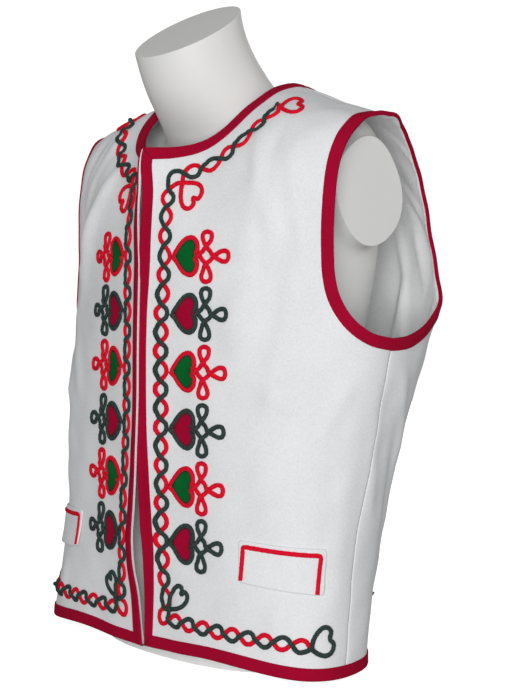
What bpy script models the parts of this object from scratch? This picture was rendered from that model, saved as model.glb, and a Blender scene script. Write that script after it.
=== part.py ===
"""Embroidered folk vest, open at the front, worn by a smooth torso dress form.

Metres, +Z up. The wearer faces -Y, the wearer's left is +X, and the form
stands on Z = 0. The cloth is one smooth skin: a stack of rounded sections from
the hem to the chest, and above them profiles that curve over the shoulders.
Every panel, lining, binding, flap and cord is a wall or a strip that follows it.
"""
from math import cos, pi, sin

import bmesh
import bpy
import numpy as np
from mathutils import Matrix, Vector
from mathutils.geometry import delaunay_2d_cdt

for thing in list(bpy.data.objects):
    bpy.data.objects.remove(thing, do_unlink=True)

# ---------------------------------------------------------------- driving sizes
HEM_LIFT = 0.0215         # front hem corner above the floor the form stands on
BODY_Y = 0.0408           # moves the skin so that the whole part is centred on Y
CHEST = 0.440             # height above the hem where the shoulder profiles start
CLOTH = 0.0022            # felted wool cloth
LINING = 0.0010
GAP = 0.0003              # between pieces that are sewn together
TURN_GAP = 0.0007         # between a cut edge and the band that turns round it
BIND_WIDTH = 0.0145       # bound edges
BIND_THICK = 0.0010
CORD_WIDTH = 0.0045       # couched cord
CORD_HIGH = 0.0022
PLAIT_SWING = 0.0062      # plait: middle line to a cord's middle
MOTIF_PITCH = 0.0644      # heart to heart down the front
TOP_HEART = 0.4430        # height of the top heart above the hem
HEARTS = 6

# Horizontal sections of the cloth, from the hem up to the chest.
SECTION_COLUMNS = ("height", "half_width", "side_y", "front_depth", "back_depth",
                   "front_square", "back_square")
SECTIONS = (
    (0.000, 0.228, -0.124, 0.084, 0.138, 2.70, 2.30),
    (0.110, 0.222, -0.110, 0.089, 0.161, 2.35, 2.40),
    (0.220, 0.230, -0.094, 0.105, 0.178, 2.15, 2.40),
    (0.335, 0.246, -0.066, 0.131, 0.183, 2.00, 2.30),
    (0.420, 0.2595, -0.038, 0.157, 0.170, 1.92, 2.25),
    (0.440, 0.260, -0.036, 0.158, 0.168, 1.92, 2.25),
)
# Profiles from the chest over the shoulder, by distance from the middle.
PROFILE_LENGTH = 0.270    # chest to ridge, the scale of the pattern's upper part
PROFILE_COLUMNS = ("from_middle", "ridge_height", "ridge_y", "front_square",
                   "back_square")
PROFILES = (
    (0.000, 0.6700, -0.036, 1.90, 1.85),
    (0.080, 0.6430, -0.035, 1.90, 1.85),
    (0.140, 0.6215, -0.032, 2.60, 1.85),
    (0.210, 0.5997, -0.030, 3.60, 1.80),
)
# The two front edges: how far each is from the middle plane, and how far the
# stiff bound edge stands forward of the panel.
EDGE_COLUMNS = ("height", "from_middle", "stands_out", "fades_over")
EDGES = (
    (0.000, 0.0030, 0.000, 0.022),
    (0.060, 0.0055, 0.006, 0.022),
    (0.120, 0.0105, 0.014, 0.022),
    (0.170, 0.0060, 0.015, 0.022),
    (0.250, 0.0030, 0.015, 0.022),
    (0.320, 0.0017, 0.014, 0.022),
    (0.440, 0.0017, 0.015, 0.024),
    (0.510, 0.0025, 0.026, 0.028),
    (0.563, 0.0025, 0.044, 0.030),
    (0.650, 0.0025, 0.000, 0.030),
)
NECK_CORNER = 0.563       # height of the corner where front edge meets neckline
# Front neckline after the corner: from the middle, height.
NECKLINE = ((0.0130, 0.5632), (0.0262, 0.5640), (0.0442, 0.5680), (0.0600, 0.5760),
            (0.0704, 0.5880), (0.0780, 0.6080), (0.0810, 0.6280), (0.0800, 0.6430))
# Back neck: from the middle, b on the pattern.
BACK_NECK = ((0.0800, 0.7100), (0.0745, 0.6760), (0.0610, 0.6440), (0.0420, 0.6240),
             (0.0210, 0.6160), (0.0000, 0.6140))
# Armhole, from the side seam up the front to the shoulder tip: turn, height.
ARMHOLE_FRONT = ((90.0, 0.3515), (84.1, 0.3560), (80.2, 0.3625), (76.2, 0.3735),
                 (72.5, 0.3890), (69.8, 0.4060), (68.2, 0.4280), (67.8, 0.4600),
                 (68.0, 0.5000), (68.4, 0.5400), (69.2, 0.5660), (70.0, 0.5840),
                 (70.0, 0.5997))
# and up the back.
ARMHOLE_BACK = ((90.0, 0.3515), (97.0, 0.3530), (103.0, 0.3605), (108.5, 0.3720),
                (113.5, 0.3870), (118.0, 0.4060), (121.4, 0.4280), (123.6, 0.4550),
                (124.6, 0.4850), (124.4, 0.5150), (123.0, 0.5440), (120.6, 0.5700),
                (118.2, 0.5880), (116.5, 0.5997))
# Hem line: turn, height.
HEM = ((0.0, -0.002), (30.0, -0.001), (60.0, 0.000), (80.0, -0.009), (95.0, -0.013),
       (130.0, -0.012), (180.0, -0.010))
SIDE_SEAM = ((-0.02, 92.0), (0.110, 94.0), (0.230, 94.0), (0.3515, 90.0))
BACK_MOTIF = (0.400, 0.055)   # point of the heart on the back, (a, b)
# Soft folds of the cloth: one end and the other on the pattern, half width, height.
FOLD_COLUMNS = ("from_a", "from_b", "to_a", "to_b", "half_width", "rises")
FOLDS_LEFT = (
    (0.150, 0.560, 0.120, 0.300, 0.022, 0.0022),
    (0.178, 0.520, 0.168, 0.330, 0.016, -0.0018),
    (0.200, 0.330, 0.170, 0.120, 0.030, 0.0018),
    (0.420, 0.560, 0.440, 0.200, 0.026, 0.0025),
    (0.520, 0.480, 0.500, 0.080, 0.030, -0.0022),
)
FOLDS_RIGHT = (
    (0.090, 0.540, 0.190, 0.400, 0.016, 0.0030),
    (0.120, 0.580, 0.200, 0.450, 0.013, -0.0022),
    (0.205, 0.340, 0.190, 0.130, 0.028, 0.0020),
    (0.410, 0.520, 0.450, 0.240, 0.028, -0.0022),
    (0.530, 0.500, 0.520, 0.060, 0.034, 0.0022),
)


# ---------------------------------------------------------------- the cloth skin
def smooth(xs, ys, x):
    """Curve through the rows of a table, without overshoot between them."""
    xs = np.asarray(xs, float)
    ys = np.asarray(ys, float)
    x = np.clip(x, xs[0], xs[-1])
    step = np.diff(xs)
    slope = np.diff(ys) / step
    tangent = np.empty(len(xs))
    tangent[0] = slope[0]
    tangent[-1] = slope[-1]
    tangent[1:-1] = (slope[:-1] * step[1:] + slope[1:] * step[:-1]) / (step[:-1] + step[1:])
    i = np.clip(np.searchsorted(xs, x, side="right") - 1, 0, len(xs) - 2)
    t = (x - xs[i]) / step[i]
    rise = (3 - 2 * t) * t * t
    return (
        ys[i] + (ys[i + 1] - ys[i]) * rise
        + step[i] * (tangent[i] * t * (1 - t) ** 2 - tangent[i + 1] * t * t * (1 - t))
    )


def column(table, number, x):
    rows = np.array(table)
    return smooth(rows[:, 0], rows[:, number], x)


def ring(turn, height):
    """Plan point of the section at this height: x, y, for a turn from centre front."""
    half_width, side_y, front, back, front_square, back_square = [
        column(SECTIONS, k, height) for k in range(1, 7)
    ]
    s, c = np.sin(turn), np.cos(turn)
    depth = np.where(c >= 0, front, back)
    square = np.where(c >= 0, front_square, back_square)
    reach = ((np.abs(s) / half_width) ** square + (np.abs(c) / depth) ** square) ** (-1 / square)
    return reach * s, side_y - reach * c


TURNS = np.radians(np.linspace(0.0, 180.0, 121))


def girth(height):
    """Length along the section from centre front, at each of TURNS."""
    x, y = ring(TURNS[None, :], np.atleast_1d(height)[:, None])
    bit = np.hypot(np.diff(x, axis=1), np.diff(y, axis=1))
    return np.concatenate([np.zeros((len(bit), 1)), np.cumsum(bit, axis=1)], axis=1)


def along(turn, height):
    """Pattern coordinate a (metres round from centre front) of a turn."""
    turn, height = np.broadcast_arrays(np.atleast_1d(turn).astype(float), height)
    table = girth(np.minimum(height, CHEST))
    return np.array([np.interp(t, TURNS, row) for t, row in zip(turn, table)])


def turn_of(a, height):
    table = girth(np.minimum(height, CHEST))
    return np.array([np.interp(q, row, TURNS) for q, row in zip(a, table)])


def front_square(x, is_front):
    return np.where(is_front, column(PROFILES, 3, x), column(PROFILES, 4, x))


def level_b(turn, height):
    """Pattern coordinate b of a height: the height itself up to the chest, then
    on over the shoulder to CHEST + PROFILE_LENGTH at the ridge."""
    turn, height = np.broadcast_arrays(np.atleast_1d(turn).astype(float), height)
    x, _ = ring(turn, np.full(len(turn), CHEST))
    top = column(PROFILES, 1, np.abs(x))
    square = front_square(np.abs(x), np.cos(turn) >= 0)
    up = np.clip((height - CHEST) / (top - CHEST), 0, 1)
    over = np.maximum(1 - up ** square, 0) ** (1 / square)
    return np.where(height <= CHEST, height, CHEST + PROFILE_LENGTH * np.arctan2(up, over) / (pi / 2))


def skin(a, b):
    """Outer face of the wearer's left half, as drawn by the tables."""
    a, b = np.broadcast_arrays(np.atleast_1d(a).astype(float), np.atleast_1d(b).astype(float))
    turn = turn_of(a, np.minimum(b, CHEST))
    x, y = ring(turn, np.minimum(b, CHEST))
    is_front = np.cos(turn) >= 0
    top = column(PROFILES, 1, np.abs(x))
    ridge_y = column(PROFILES, 2, np.abs(x))
    square = front_square(np.abs(x), is_front)
    up = np.clip((b - CHEST) / PROFILE_LENGTH, 0, 1) * pi / 2
    reach = (np.cos(up) ** square + np.sin(up) ** square) ** (-1 / square)
    z = np.where(b > CHEST, CHEST + (top - CHEST) * reach * np.sin(up), b)
    y = np.where(b > CHEST, ridge_y + (y - ridge_y) * reach * np.cos(up), y)
    stands = column(EDGES, 2, z) * np.exp(-np.abs(x) / column(EDGES, 3, z))
    y = y - np.where(is_front, stands, 0)
    return np.stack([x, y, z], axis=-1)


def slopes(a, b):
    """How the skin runs with a and with b."""
    e = 0.0008
    top = CHEST + PROFILE_LENGTH
    low = np.minimum(b, top - e) - e
    by_a = (skin(a + e, b) - skin(a - e, b)) / (2 * e)
    by_b = (skin(a, low + 2 * e) - skin(a, low)) / (2 * e)
    return by_a, by_b


def outward(a, b, true_plane=False):
    by_a, by_b = slopes(a, b)
    n = np.cross(by_a, by_b)
    n /= np.linalg.norm(n, axis=-1, keepdims=True)
    if true_plane:
        return n
    # at the front edge the wall goes straight back, so that the two edges can meet
    x = skin(a, b)[:, 0]
    near = np.clip(x / 0.030, 0, 1)
    n[:, 0] *= np.where(n[:, 1] < 0, near * near * (3 - 2 * near), 1.0)
    return n / np.linalg.norm(n, axis=-1, keepdims=True)


def fold(a, b, folds):
    rise = np.zeros(len(a))
    for a0, b0, a1, b1, half_width, high in folds:
        run = np.array([a1 - a0, b1 - b0])
        length = np.hypot(*run)
        run = run / length
        along_it = (a - a0) * run[0] + (b - b0) * run[1]
        across = (a - a0) * run[1] - (b - b0) * run[0]
        ends = np.clip(along_it / length * 4, 0, 1) * np.clip((1 - along_it / length) * 4, 0, 1)
        ends = ends * ends * (3 - 2 * ends)
        rise += high * ends * np.exp(-((across / half_width) ** 2))
    return rise

# ---------------------------------------------------------------- end of the skin

# ---------------------------------------------------------------- the pattern
# The cut pieces are drawn on the flat pattern (a, b) and filled with triangles.
UPRIGHT = 0.55            # below the chest the cloth is straight: longer triangles
CELL = 0.0310


def spread(line, cell):
    """Points at equal spacing, about one cell, along a fine line on the pattern."""
    p = skin(line[:, 0], line[:, 1])
    p[:, 2] *= np.where(line[:, 1] < 0.36, UPRIGHT, 1.0)
    run = np.concatenate([[0], np.cumsum(np.linalg.norm(np.diff(p, axis=0), axis=1))])
    count = max(1, int(round(run[-1] / cell)))
    at = np.linspace(0, run[-1], count + 1)
    return np.stack([np.interp(at, run, line[:, 0]), np.interp(at, run, line[:, 1])], axis=1)


def through(rows, count=80):
    """A fine curve through rows of (first, second)."""
    rows = np.array(rows)
    k = np.linspace(0, len(rows) - 1, count)
    index = np.arange(len(rows))
    return smooth(index, rows[:, 0], k), smooth(index, rows[:, 1], k)


def on_pattern(turn, height):
    b = level_b(turn, height)
    return np.stack([along(turn, height), b], axis=1)


def turn_at(x, back):
    """Turn of the column that stands this far from the middle plane."""
    turns = np.linspace(pi, pi / 2, 400) if back else np.linspace(0, pi / 2, 400)
    reach, _ = ring(turns, np.full(400, CHEST))
    return np.interp(x, reach, turns)


def edge_x(z):
    return column(EDGES, 1, z)


def hem_height(turn):
    return column(HEM, 1, np.degrees(turn))


RIDGE = CHEST + PROFILE_LENGTH
seam_z = np.linspace(float(hem_height(np.radians(92.0))), SIDE_SEAM[-1][0], 60)
seam_turn = np.radians(smooth([r[0] for r in SIDE_SEAM], [r[1] for r in SIDE_SEAM], seam_z))
side_seam = spread(on_pattern(seam_turn, seam_z), CELL)
hem_turn_side = seam_turn[0]

z = np.linspace(NECK_CORNER, -0.002, 120)
edge_turn = turn_at(edge_x(z), False)
front_edge = np.stack([
    np.where(z > CHEST, along(edge_turn, z), edge_x(z)), level_b(edge_turn, z)
], axis=1)
front_edge = spread(front_edge, CELL * 0.9)

x, z = through(((float(edge_x(NECK_CORNER)), NECK_CORNER),) + NECKLINE)
neck_turn = turn_at(x, False)
neck_front = on_pattern(neck_turn, z)
neck_front[-1, 1] = RIDGE
neck_front = spread(neck_front, 0.017)[::-1]

x, z = through(BACK_NECK)
neck_turn = turn_at(x, True)
neck_back = np.stack([along(neck_turn, CHEST), z], axis=1)
neck_back[0, 1] = RIDGE
neck_back = spread(neck_back, 0.020)[::-1]

turn, z = through(ARMHOLE_FRONT)
arm_front = on_pattern(np.radians(turn), z)
arm_front[-1, 1] = RIDGE
arm_front = spread(arm_front, 0.0215)
turn, z = through(ARMHOLE_BACK)
arm_back = on_pattern(np.radians(turn), z)
arm_back[-1, 1] = RIDGE
tip_x = float(skin(arm_front[-1:, 0], [RIDGE])[0, 0])
arm_back[-1, 0] = float(along(turn_at(tip_x, True), CHEST)[0])
arm_back = spread(arm_back, 0.0215)

turn = np.linspace(float(edge_turn[-1]), float(hem_turn_side), 80)
hem_front = on_pattern(turn, hem_height(turn))
hem_front = spread(hem_front, 0.0260)
hem_front[0] = front_edge[-1]
hem_front[-1] = side_seam[0]
turn = np.linspace(float(hem_turn_side), pi, 80)
hem_back = spread(on_pattern(turn, hem_height(turn)), 0.0260)
hem_back[0] = side_seam[0]
arm_front[0] = side_seam[-1]
arm_back[0] = side_seam[-1]
hps_x = float(skin(neck_front[:1, 0], [RIDGE])[0, 0])

# shoulder seam: the same distances from the middle, front and back
shoulder_x = np.concatenate([
    [hps_x, hps_x + BIND_WIDTH],
    np.linspace(hps_x + BIND_WIDTH, tip_x - BIND_WIDTH, 6)[1:-1],
    [tip_x - BIND_WIDTH, tip_x],
])


def shoulder(back):
    return np.stack([along(turn_at(shoulder_x, back), CHEST), np.full(8, RIDGE)], axis=1)


shoulder_front, shoulder_back = shoulder(False), shoulder(True)
shoulder_front[0], shoulder_front[-1] = neck_front[0], arm_front[-1]
shoulder_back[0], shoulder_back[-1] = neck_back[-1], arm_back[-1]
back_top = float(neck_back[0, 1])
centre_z = np.linspace(float(hem_height(pi)), CHEST, 40)
centre_low = on_pattern(np.full(40, pi), centre_z)
centre_high = np.stack([np.full(20, centre_low[-1, 0]), np.linspace(CHEST, back_top, 20)], axis=1)
centre_back = spread(np.concatenate([centre_low, centre_high[1:]]), CELL)
centre_back[0], centre_back[-1] = hem_back[-1], neck_back[0]


def inward(line, left):
    """Pattern directions, one metre long on the skin, square to a line on its left
    or right side."""
    run = np.gradient(line, axis=0)
    by_a, by_b = slopes(line[:, 0], line[:, 1])
    t = by_a * run[:, :1] + by_b * run[:, 1:]
    step = np.stack([-(by_b * t).sum(1), (by_a * t).sum(1)], axis=1)
    d = by_a * step[:, :1] + by_b * step[:, 1:]
    step /= np.linalg.norm(d, axis=1)[:, None]
    return step if left else -step


def strip(line, left, width=BIND_WIDTH, start=None, end=None):
    """The inner line of a bound edge; its two ends may be given."""
    inner = line + inward(line, left) * width
    if start is not None:
        inner[0] = start
    if end is not None:
        inner[-1] = end
    return inner


def mitre(corner, line_a, left_a, line_b, left_b, width=BIND_WIDTH):
    d1 = inward(line_a, left_a)
    d2 = inward(line_b, left_b)
    d1 = d1[0] if np.allclose(line_a[0], corner) else d1[-1]
    d2 = d2[0] if np.allclose(line_b[0], corner) else d2[-1]
    by_a, by_b = slopes(corner[None, 0], corner[None, 1])
    v1 = by_a[0] * d1[0] + by_b[0] * d1[1]
    v2 = by_a[0] * d2[0] + by_b[0] * d2[1]
    return corner + width * (d1 + d2) / (1 + v1 @ v2)


def point_on(line, distance):
    """Pattern point this far along a line from its first point."""
    p = skin(line[:, 0], line[:, 1])
    run = np.concatenate([[0], np.cumsum(np.linalg.norm(np.diff(p, axis=0), axis=1))])
    return np.array([np.interp(distance, run, line[:, 0]), np.interp(distance, run, line[:, 1])])


neck_mitre = mitre(front_edge[0], front_edge, True, neck_front, True)
hem_mitre = mitre(front_edge[-1], front_edge, True, hem_front, True)
seam_low = point_on(side_seam, BIND_WIDTH)
seam_high = point_on(side_seam[::-1], BIND_WIDTH)
side_seam = np.concatenate([
    side_seam[:1], [seam_low], side_seam[2:-2], [seam_high], side_seam[-1:]
])
centre_low_point = point_on(centre_back, BIND_WIDTH)
centre_high_point = point_on(centre_back[::-1], BIND_WIDTH)
centre_back = np.concatenate([
    centre_back[:1], [centre_low_point], centre_back[2:-1], [centre_high_point], centre_back[-1:]
])
STRIPS = {
    "front": (front_edge, strip(front_edge, True, start=neck_mitre, end=hem_mitre)),
    "neck_f": (neck_front, strip(neck_front, True, start=shoulder_front[1], end=neck_mitre)),
    "neck_b": (neck_back, strip(neck_back, True, start=centre_high_point, end=shoulder_back[1])),
    "hem_f": (hem_front, strip(hem_front, True, start=hem_mitre, end=seam_low)),
    "hem_b": (hem_back, strip(hem_back, True, start=seam_low, end=centre_low_point)),
    "arm_f": (arm_front, strip(arm_front, True, start=seam_high, end=shoulder_front[-2])),
    "arm_b": (arm_back, strip(arm_back, False, start=seam_high, end=shoulder_back[-2])),
}

# pocket flap and the two flap corners at the top, (a, b)
FLAP = np.array(((0.1385, 0.0885), (0.2340, 0.0790), (0.2350, 0.1280), (0.1340, 0.1340)))


def between(p, q, count):
    return p + (q - p) * np.linspace(0, 1, count + 1)[:, None]


class Pattern:
    """Half of the garment laid flat: points, triangles and what each belongs to."""

    def __init__(self):
        self.points = []
        self.lines = []

    def add(self, point):
        for i, q in enumerate(self.points):
            if abs(q[0] - point[0]) + abs(q[1] - point[1]) < 1e-6:
                return i
        self.points.append((float(point[0]), float(point[1])))
        return len(self.points) - 1

    def polyline(self, line, closed=False):
        ids = [self.add(p) for p in line]
        pairs = list(zip(ids, ids[1:]))
        if closed:
            pairs.append((ids[-1], ids[0]))
        for pair in pairs:
            if pair[0] != pair[1] and pair not in self.lines and pair[::-1] not in self.lines:
                self.lines.append(pair)
        return ids


def squeeze(points):
    """Pattern to the plane in which the triangles are made even."""
    points = np.array(points, float)
    low = np.minimum(points[:, 1], 0.36)
    return np.stack([points[:, 0], low * UPRIGHT + (points[:, 1] - low)], axis=1)


def inside(loop, p):
    x, y = p
    odd = False
    for (x0, y0), (x1, y1) in zip(loop, np.roll(loop, -1, axis=0)):
        if (y0 > y) != (y1 > y) and x < (x1 - x0) * (y - y0) / (y1 - y0) + x0:
            odd = not odd
    return odd


def far_from(p, segments, distance):
    a, b = segments[:, 0], segments[:, 1]
    run = b - a
    t = np.clip(((p - a) * run).sum(1) / (run ** 2).sum(1), 0, 1)
    return np.min(np.linalg.norm(p - a - run * t[:, None], axis=1)) > distance


pattern = Pattern()
outline = [
    hem_front, hem_back, centre_back, neck_back, shoulder_back, arm_back[::-1], arm_front,
    shoulder_front[::-1], neck_front, front_edge,
]
loop = []
for line in outline:
    ids = pattern.polyline(line)
    loop += ids[:-1]
pattern.polyline(side_seam)
strip_ids = {}
for name, (edge, inner) in STRIPS.items():
    ids = pattern.polyline(edge)
    inner_ids = pattern.polyline(inner)
    strip_ids[name] = (ids, inner_ids)
    for p, q in zip(edge, inner):
        pattern.polyline((p, q))
flap_loop = np.concatenate([
    between(FLAP[0], FLAP[1], 4)[:-1], between(FLAP[1], FLAP[2], 1)[:-1],
    between(FLAP[2], FLAP[3], 4)[:-1], between(FLAP[3], FLAP[0], 1)[:-1],
])
pattern.polyline(flap_loop, closed=True)

flat = squeeze(pattern.points)
segments = np.array([[flat[i], flat[j]] for i, j in pattern.lines])
border = flat[loop]
spots = []
row = 0
step_b = CELL * 0.87
v = flat[:, 1].min() + 0.010
while v < flat[:, 1].max():
    u = 0.5 * CELL * (row % 2)
    while u < flat[:, 0].max():
        p = np.array([u, v])
        if inside(border, p) and far_from(p, segments, 0.55 * CELL):
            spots.append(p)
        u += CELL
    v += step_b
    row += 1
flat = np.concatenate([flat, np.array(spots)])
result = delaunay_2d_cdt([Vector(p) for p in flat], pattern.lines, [loop], 1, 1e-7)
kept = [tuple(v) for v in result[0]]
origin = [list(o) for o in result[3]]
place = {}
for new, olds in enumerate(origin):
    for old in olds:
        place[old] = new
flat = np.array(kept)
low = np.minimum(flat[:, 1], 0.36 * UPRIGHT)
PA = flat[:, 0]
PB = low / UPRIGHT + (flat[:, 1] - low)
faces = np.array([f for f in result[2]])
cut = flat[faces]
area = np.cross(cut[:, 1] - cut[:, 0], cut[:, 2] - cut[:, 0])
faces = faces[np.abs(area) > 1e-8]
area = area[np.abs(area) > 1e-8]
faces[area < 0] = faces[area < 0][:, ::-1]
PF = faces
MID = np.stack([PA[PF].mean(1), PB[PF].mean(1)], axis=1)
seam_ids = {place[pattern.add(p)] for p in side_seam}


def is_front_face():
    split = np.interp(MID[:, 1], side_seam[:, 1], side_seam[:, 0])
    return MID[:, 0] < split


FRONT_FACES = is_front_face()


def strip_faces(name):
    edge, inner = strip_ids[name]
    quads = [
        {place[edge[k]], place[edge[k + 1]], place[inner[k]], place[inner[k + 1]]}
        for k in range(len(edge) - 1)
    ]
    return [i for i, f in enumerate(PF) if any(set(f) <= q for q in quads)]


FLAP_FACES = [i for i, m in enumerate(MID) if inside(FLAP, m)]
BASE_POINT = skin(PA, PB)
BASE_NORMAL = outward(PA, PB)
BASE_PLANE = outward(PA, PB, True)
SHIFT = np.array([0.0, BODY_Y, HEM_LIFT])
centre_ids = {place[pattern.add(p)] for p in centre_back}
for i in centre_ids:
    BASE_POINT[i, 0] = 0.0
    BASE_NORMAL[i, 0] = 0.0
    BASE_NORMAL[i] /= np.linalg.norm(BASE_NORMAL[i])
# front and back share the points of the shoulder seam
twin = {}
for p, q in zip(shoulder_front, shoulder_back):
    i, j = place[pattern.add(p)], place[pattern.add(q)]
    twin[j] = i
    BASE_POINT[j] = BASE_POINT[i]
    BASE_NORMAL[i] = (BASE_NORMAL[i] + BASE_NORMAL[j])
    BASE_NORMAL[i] /= np.linalg.norm(BASE_NORMAL[i])
    BASE_NORMAL[j] = BASE_NORMAL[i]


class Cloth:
    """The whole skin as one net of points: the left half, then the right half."""

    def __init__(self):
        left = BASE_POINT + BASE_NORMAL * fold(PA, PB, FOLDS_LEFT)[:, None]
        right = BASE_POINT + BASE_NORMAL * fold(PA, PB, FOLDS_RIGHT)[:, None]
        for i in centre_ids:
            left[i] = right[i] = BASE_POINT[i]
        mirror = np.array([-1.0, 1.0, 1.0])
        self.point = np.concatenate([left, right * mirror]) + SHIFT
        self.normal = np.concatenate([BASE_NORMAL, BASE_NORMAL * mirror])
        self.plane = np.concatenate([BASE_PLANE, BASE_PLANE * mirror])
        count = len(PA)
        self.half = count
        join = np.arange(2 * count)
        for j, i in twin.items():
            join[j] = i
            join[j + count] = i + count
        for i in centre_ids:
            join[i + count] = i
        self.join = join

    def faces(self, ids, right=False):
        out = []
        for i in ids:
            f = [int(k) for k in PF[i]]
            if right:
                f = [k + self.half for k in f[::-1]]
            out.append(tuple(int(self.join[k]) for k in f))
        return out


cloth = Cloth()


# ---------------------------------------------------------------- solids
def material(name, colour, rough=0.85):
    found = bpy.data.materials.get(name)
    if found:
        return found
    m = bpy.data.materials.new(name)
    m.use_nodes = True
    shader = m.node_tree.nodes["Principled BSDF"]
    shader.inputs["Base Color"].default_value = (*colour, 1.0)
    shader.inputs["Roughness"].default_value = rough
    m.diffuse_color = (*colour, 1.0)
    return m


WHITE = material("white_wool", (0.72, 0.73, 0.75))
LINEN = material("white_lining", (0.62, 0.63, 0.65))
CRIMSON = material("crimson_braid", (0.34, 0.004, 0.03))
RED = material("red_cord", (0.68, 0.008, 0.03))
DARK = material("dark_green_cord", (0.03, 0.053, 0.05))
GREEN = material("green_felt", (0.004, 0.155, 0.028))
WINE = material("crimson_felt", (0.37, 0.004, 0.032))
SHELL = material("form_shell", (0.60, 0.60, 0.59), 0.5)
BASE = material("form_base", (0.012, 0.012, 0.013), 0.6)


def solid(name, points, polygons, surface):
    mesh = bpy.data.meshes.new(name)
    mesh.from_pydata([tuple(map(float, p)) for p in points], [], [list(f) for f in polygons])
    mesh.validate()
    mesh.update()
    mesh.materials.append(surface)
    thing = bpy.data.objects.new(name, mesh)
    bpy.context.scene.collection.objects.link(thing)
    return thing


def boundary(tris):
    """Edges with a triangle on one side only, as directed loops."""
    sides = {}
    for f in tris:
        for u, v in ((f[0], f[1]), (f[1], f[2]), (f[2], f[0])):
            sides[(u, v)] = True
    after = {}
    for u, v in sides:
        if (v, u) not in sides:
            after[u] = v
    loops = []
    while after:
        start = next(iter(after))
        line = [start]
        here = after.pop(start)
        while here != start:
            line.append(here)
            here = after.pop(here)
        loops.append(line)
    return loops


def edge_shift(u, v, w, reach_in, reach_out, point, normal):
    """Where a corner v moves when its two edges move outward by these distances."""
    n = cloth.plane[v]
    e1 = point[v] - point[u]
    e2 = point[w] - point[v]
    e1 -= n * (e1 @ n)
    e2 -= n * (e2 @ n)
    n1 = np.cross(e1, n)
    n2 = np.cross(e2, n)
    n1 /= np.linalg.norm(n1)
    n2 /= np.linalg.norm(n2)
    c = n1 @ n2
    if c > 0.9995:
        return (n1 + n2) / np.linalg.norm(n1 + n2) * 0.5 * (reach_in + reach_out)
    s = 1 - c * c
    return n1 * (reach_in - c * reach_out) / s + n2 * (reach_out - c * reach_in) / s


def layer(name, tris, inner, outer, surface, pull=0.0, bound=None, deep=0.0, pulled=None,
          turn=GAP):
    """Wall between two offsets of the cloth. Edges in `bound` are bound edges: with
    `deep` the wall also turns round them; the other edges draw back by `pull`, or
    only those in `pulled` where that is given."""
    bound = bound or set()
    point, normal = cloth.point, cloth.normal
    used = sorted({k for f in tris for k in f})
    index = {k: i for i, k in enumerate(used)}
    lift_in = {k: inner(k) if callable(inner) else inner for k in used}
    lift_out = {k: outer(k) if callable(outer) else outer for k in used}
    low = {k: point[k] + normal[k] * lift_in[k] for k in used}
    high = {k: point[k] + normal[k] * lift_out[k] for k in used}
    wrap_out, wrap_in = {}, {}
    loops = boundary(tris)

    def is_bound(u, v):
        return (u, v) in bound or (v, u) in bound

    def reach(u, v, out):
        if is_bound(u, v):
            return out
        if pulled is not None and (u, v) not in pulled and (v, u) not in pulled:
            return 0.0
        return -pull

    for line in loops:
        for i, v in enumerate(line):
            u, w = line[i - 1], line[(i + 1) % len(line)]
            touches = is_bound(u, v) or is_bound(v, w)
            d = edge_shift(u, v, w, reach(u, v, 0.0), reach(v, w, 0.0), point, normal)
            if touches and deep:
                d = edge_shift(u, v, w, reach(u, v, turn), reach(v, w, turn), point, normal)
                far = edge_shift(
                    u, v, w, reach(u, v, turn + BIND_THICK), reach(v, w, turn + BIND_THICK),
                    point, normal,
                )
                low[v] = low[v] + d
                high[v] = high[v] + far
                wrap_in[v] = point[v] - normal[v] * deep + d
                wrap_out[v] = point[v] - normal[v] * deep + far
            else:
                low[v] = low[v] + d
                high[v] = high[v] + d
    points = [low[k] for k in used] + [high[k] for k in used]
    count = len(used)
    extra = {}
    for v in wrap_in:
        extra[v] = len(points)
        points += [wrap_in[v], wrap_out[v]]
    polygons = []
    for f in tris:
        a, b, c = (index[k] for k in f)
        polygons.append((a + count, b + count, c + count))
        polygons.append((c, b, a))
    for line in loops:
        for i, v in enumerate(line):
            w = line[(i + 1) % len(line)]
            a, b = index[v], index[w]
            if deep and is_bound(v, w):
                p, q = extra[v], extra[w]
                polygons.append((b + count, a + count, p + 1, q + 1))
                polygons.append((q + 1, p + 1, p, q))
                polygons.append((q, p, a, b))
            else:
                polygons.append((b + count, a + count, a, b))
    if deep:
        for line in loops:
            for i, v in enumerate(line):
                u, w = line[i - 1], line[(i + 1) % len(line)]
                if v in extra and is_bound(u, v) != is_bound(v, w):
                    a, p = index[v], extra[v]
                    cap = (a + count, a, p, p + 1)
                    polygons.append(cap if is_bound(v, w) else cap[::-1])
    return solid(name, points, polygons, surface)


def edges_of(name, right=False):
    """The bound edge of a strip, as pairs of cloth points."""
    ids = [place[k] for k in strip_ids[name][0]]
    if right:
        ids = [k + cloth.half for k in ids]
    ids = [int(cloth.join[k]) for k in ids]
    return set(zip(ids, ids[1:]))


SEAM_PULL = GAP / 2
names = {"left": False, "right": True}
beside_edge = set(strip_faces("neck_f")) | set(strip_faces("front"))
front_ids = [i for i in range(len(PF)) if FRONT_FACES[i]]
back_ids = [i for i in range(len(PF)) if not FRONT_FACES[i]]
DEEP = CLOTH + GAP + LINING
LINING_IN = -(CLOTH + GAP + LINING)
LINING_OUT = -(CLOTH + GAP)
for side, right in names.items():
    bound = set()
    for name in ("front", "neck_f", "hem_f", "arm_f"):
        bound |= edges_of(name, right)
    layer(side + "_front", cloth.faces(front_ids, right), -CLOTH, 0.0, WHITE, SEAM_PULL, bound)
    # facing: the part of the lining that shows inside the front edge and the neck
    near = [
        i for i in front_ids
        if (MID[i, 0] < 0.048 and MID[i, 1] < 0.53) or i in beside_edge
    ]
    layer(side + "_facing", cloth.faces(near, right), LINING_IN, LINING_OUT, LINEN, SEAM_PULL, bound)
bound = set()
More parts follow.
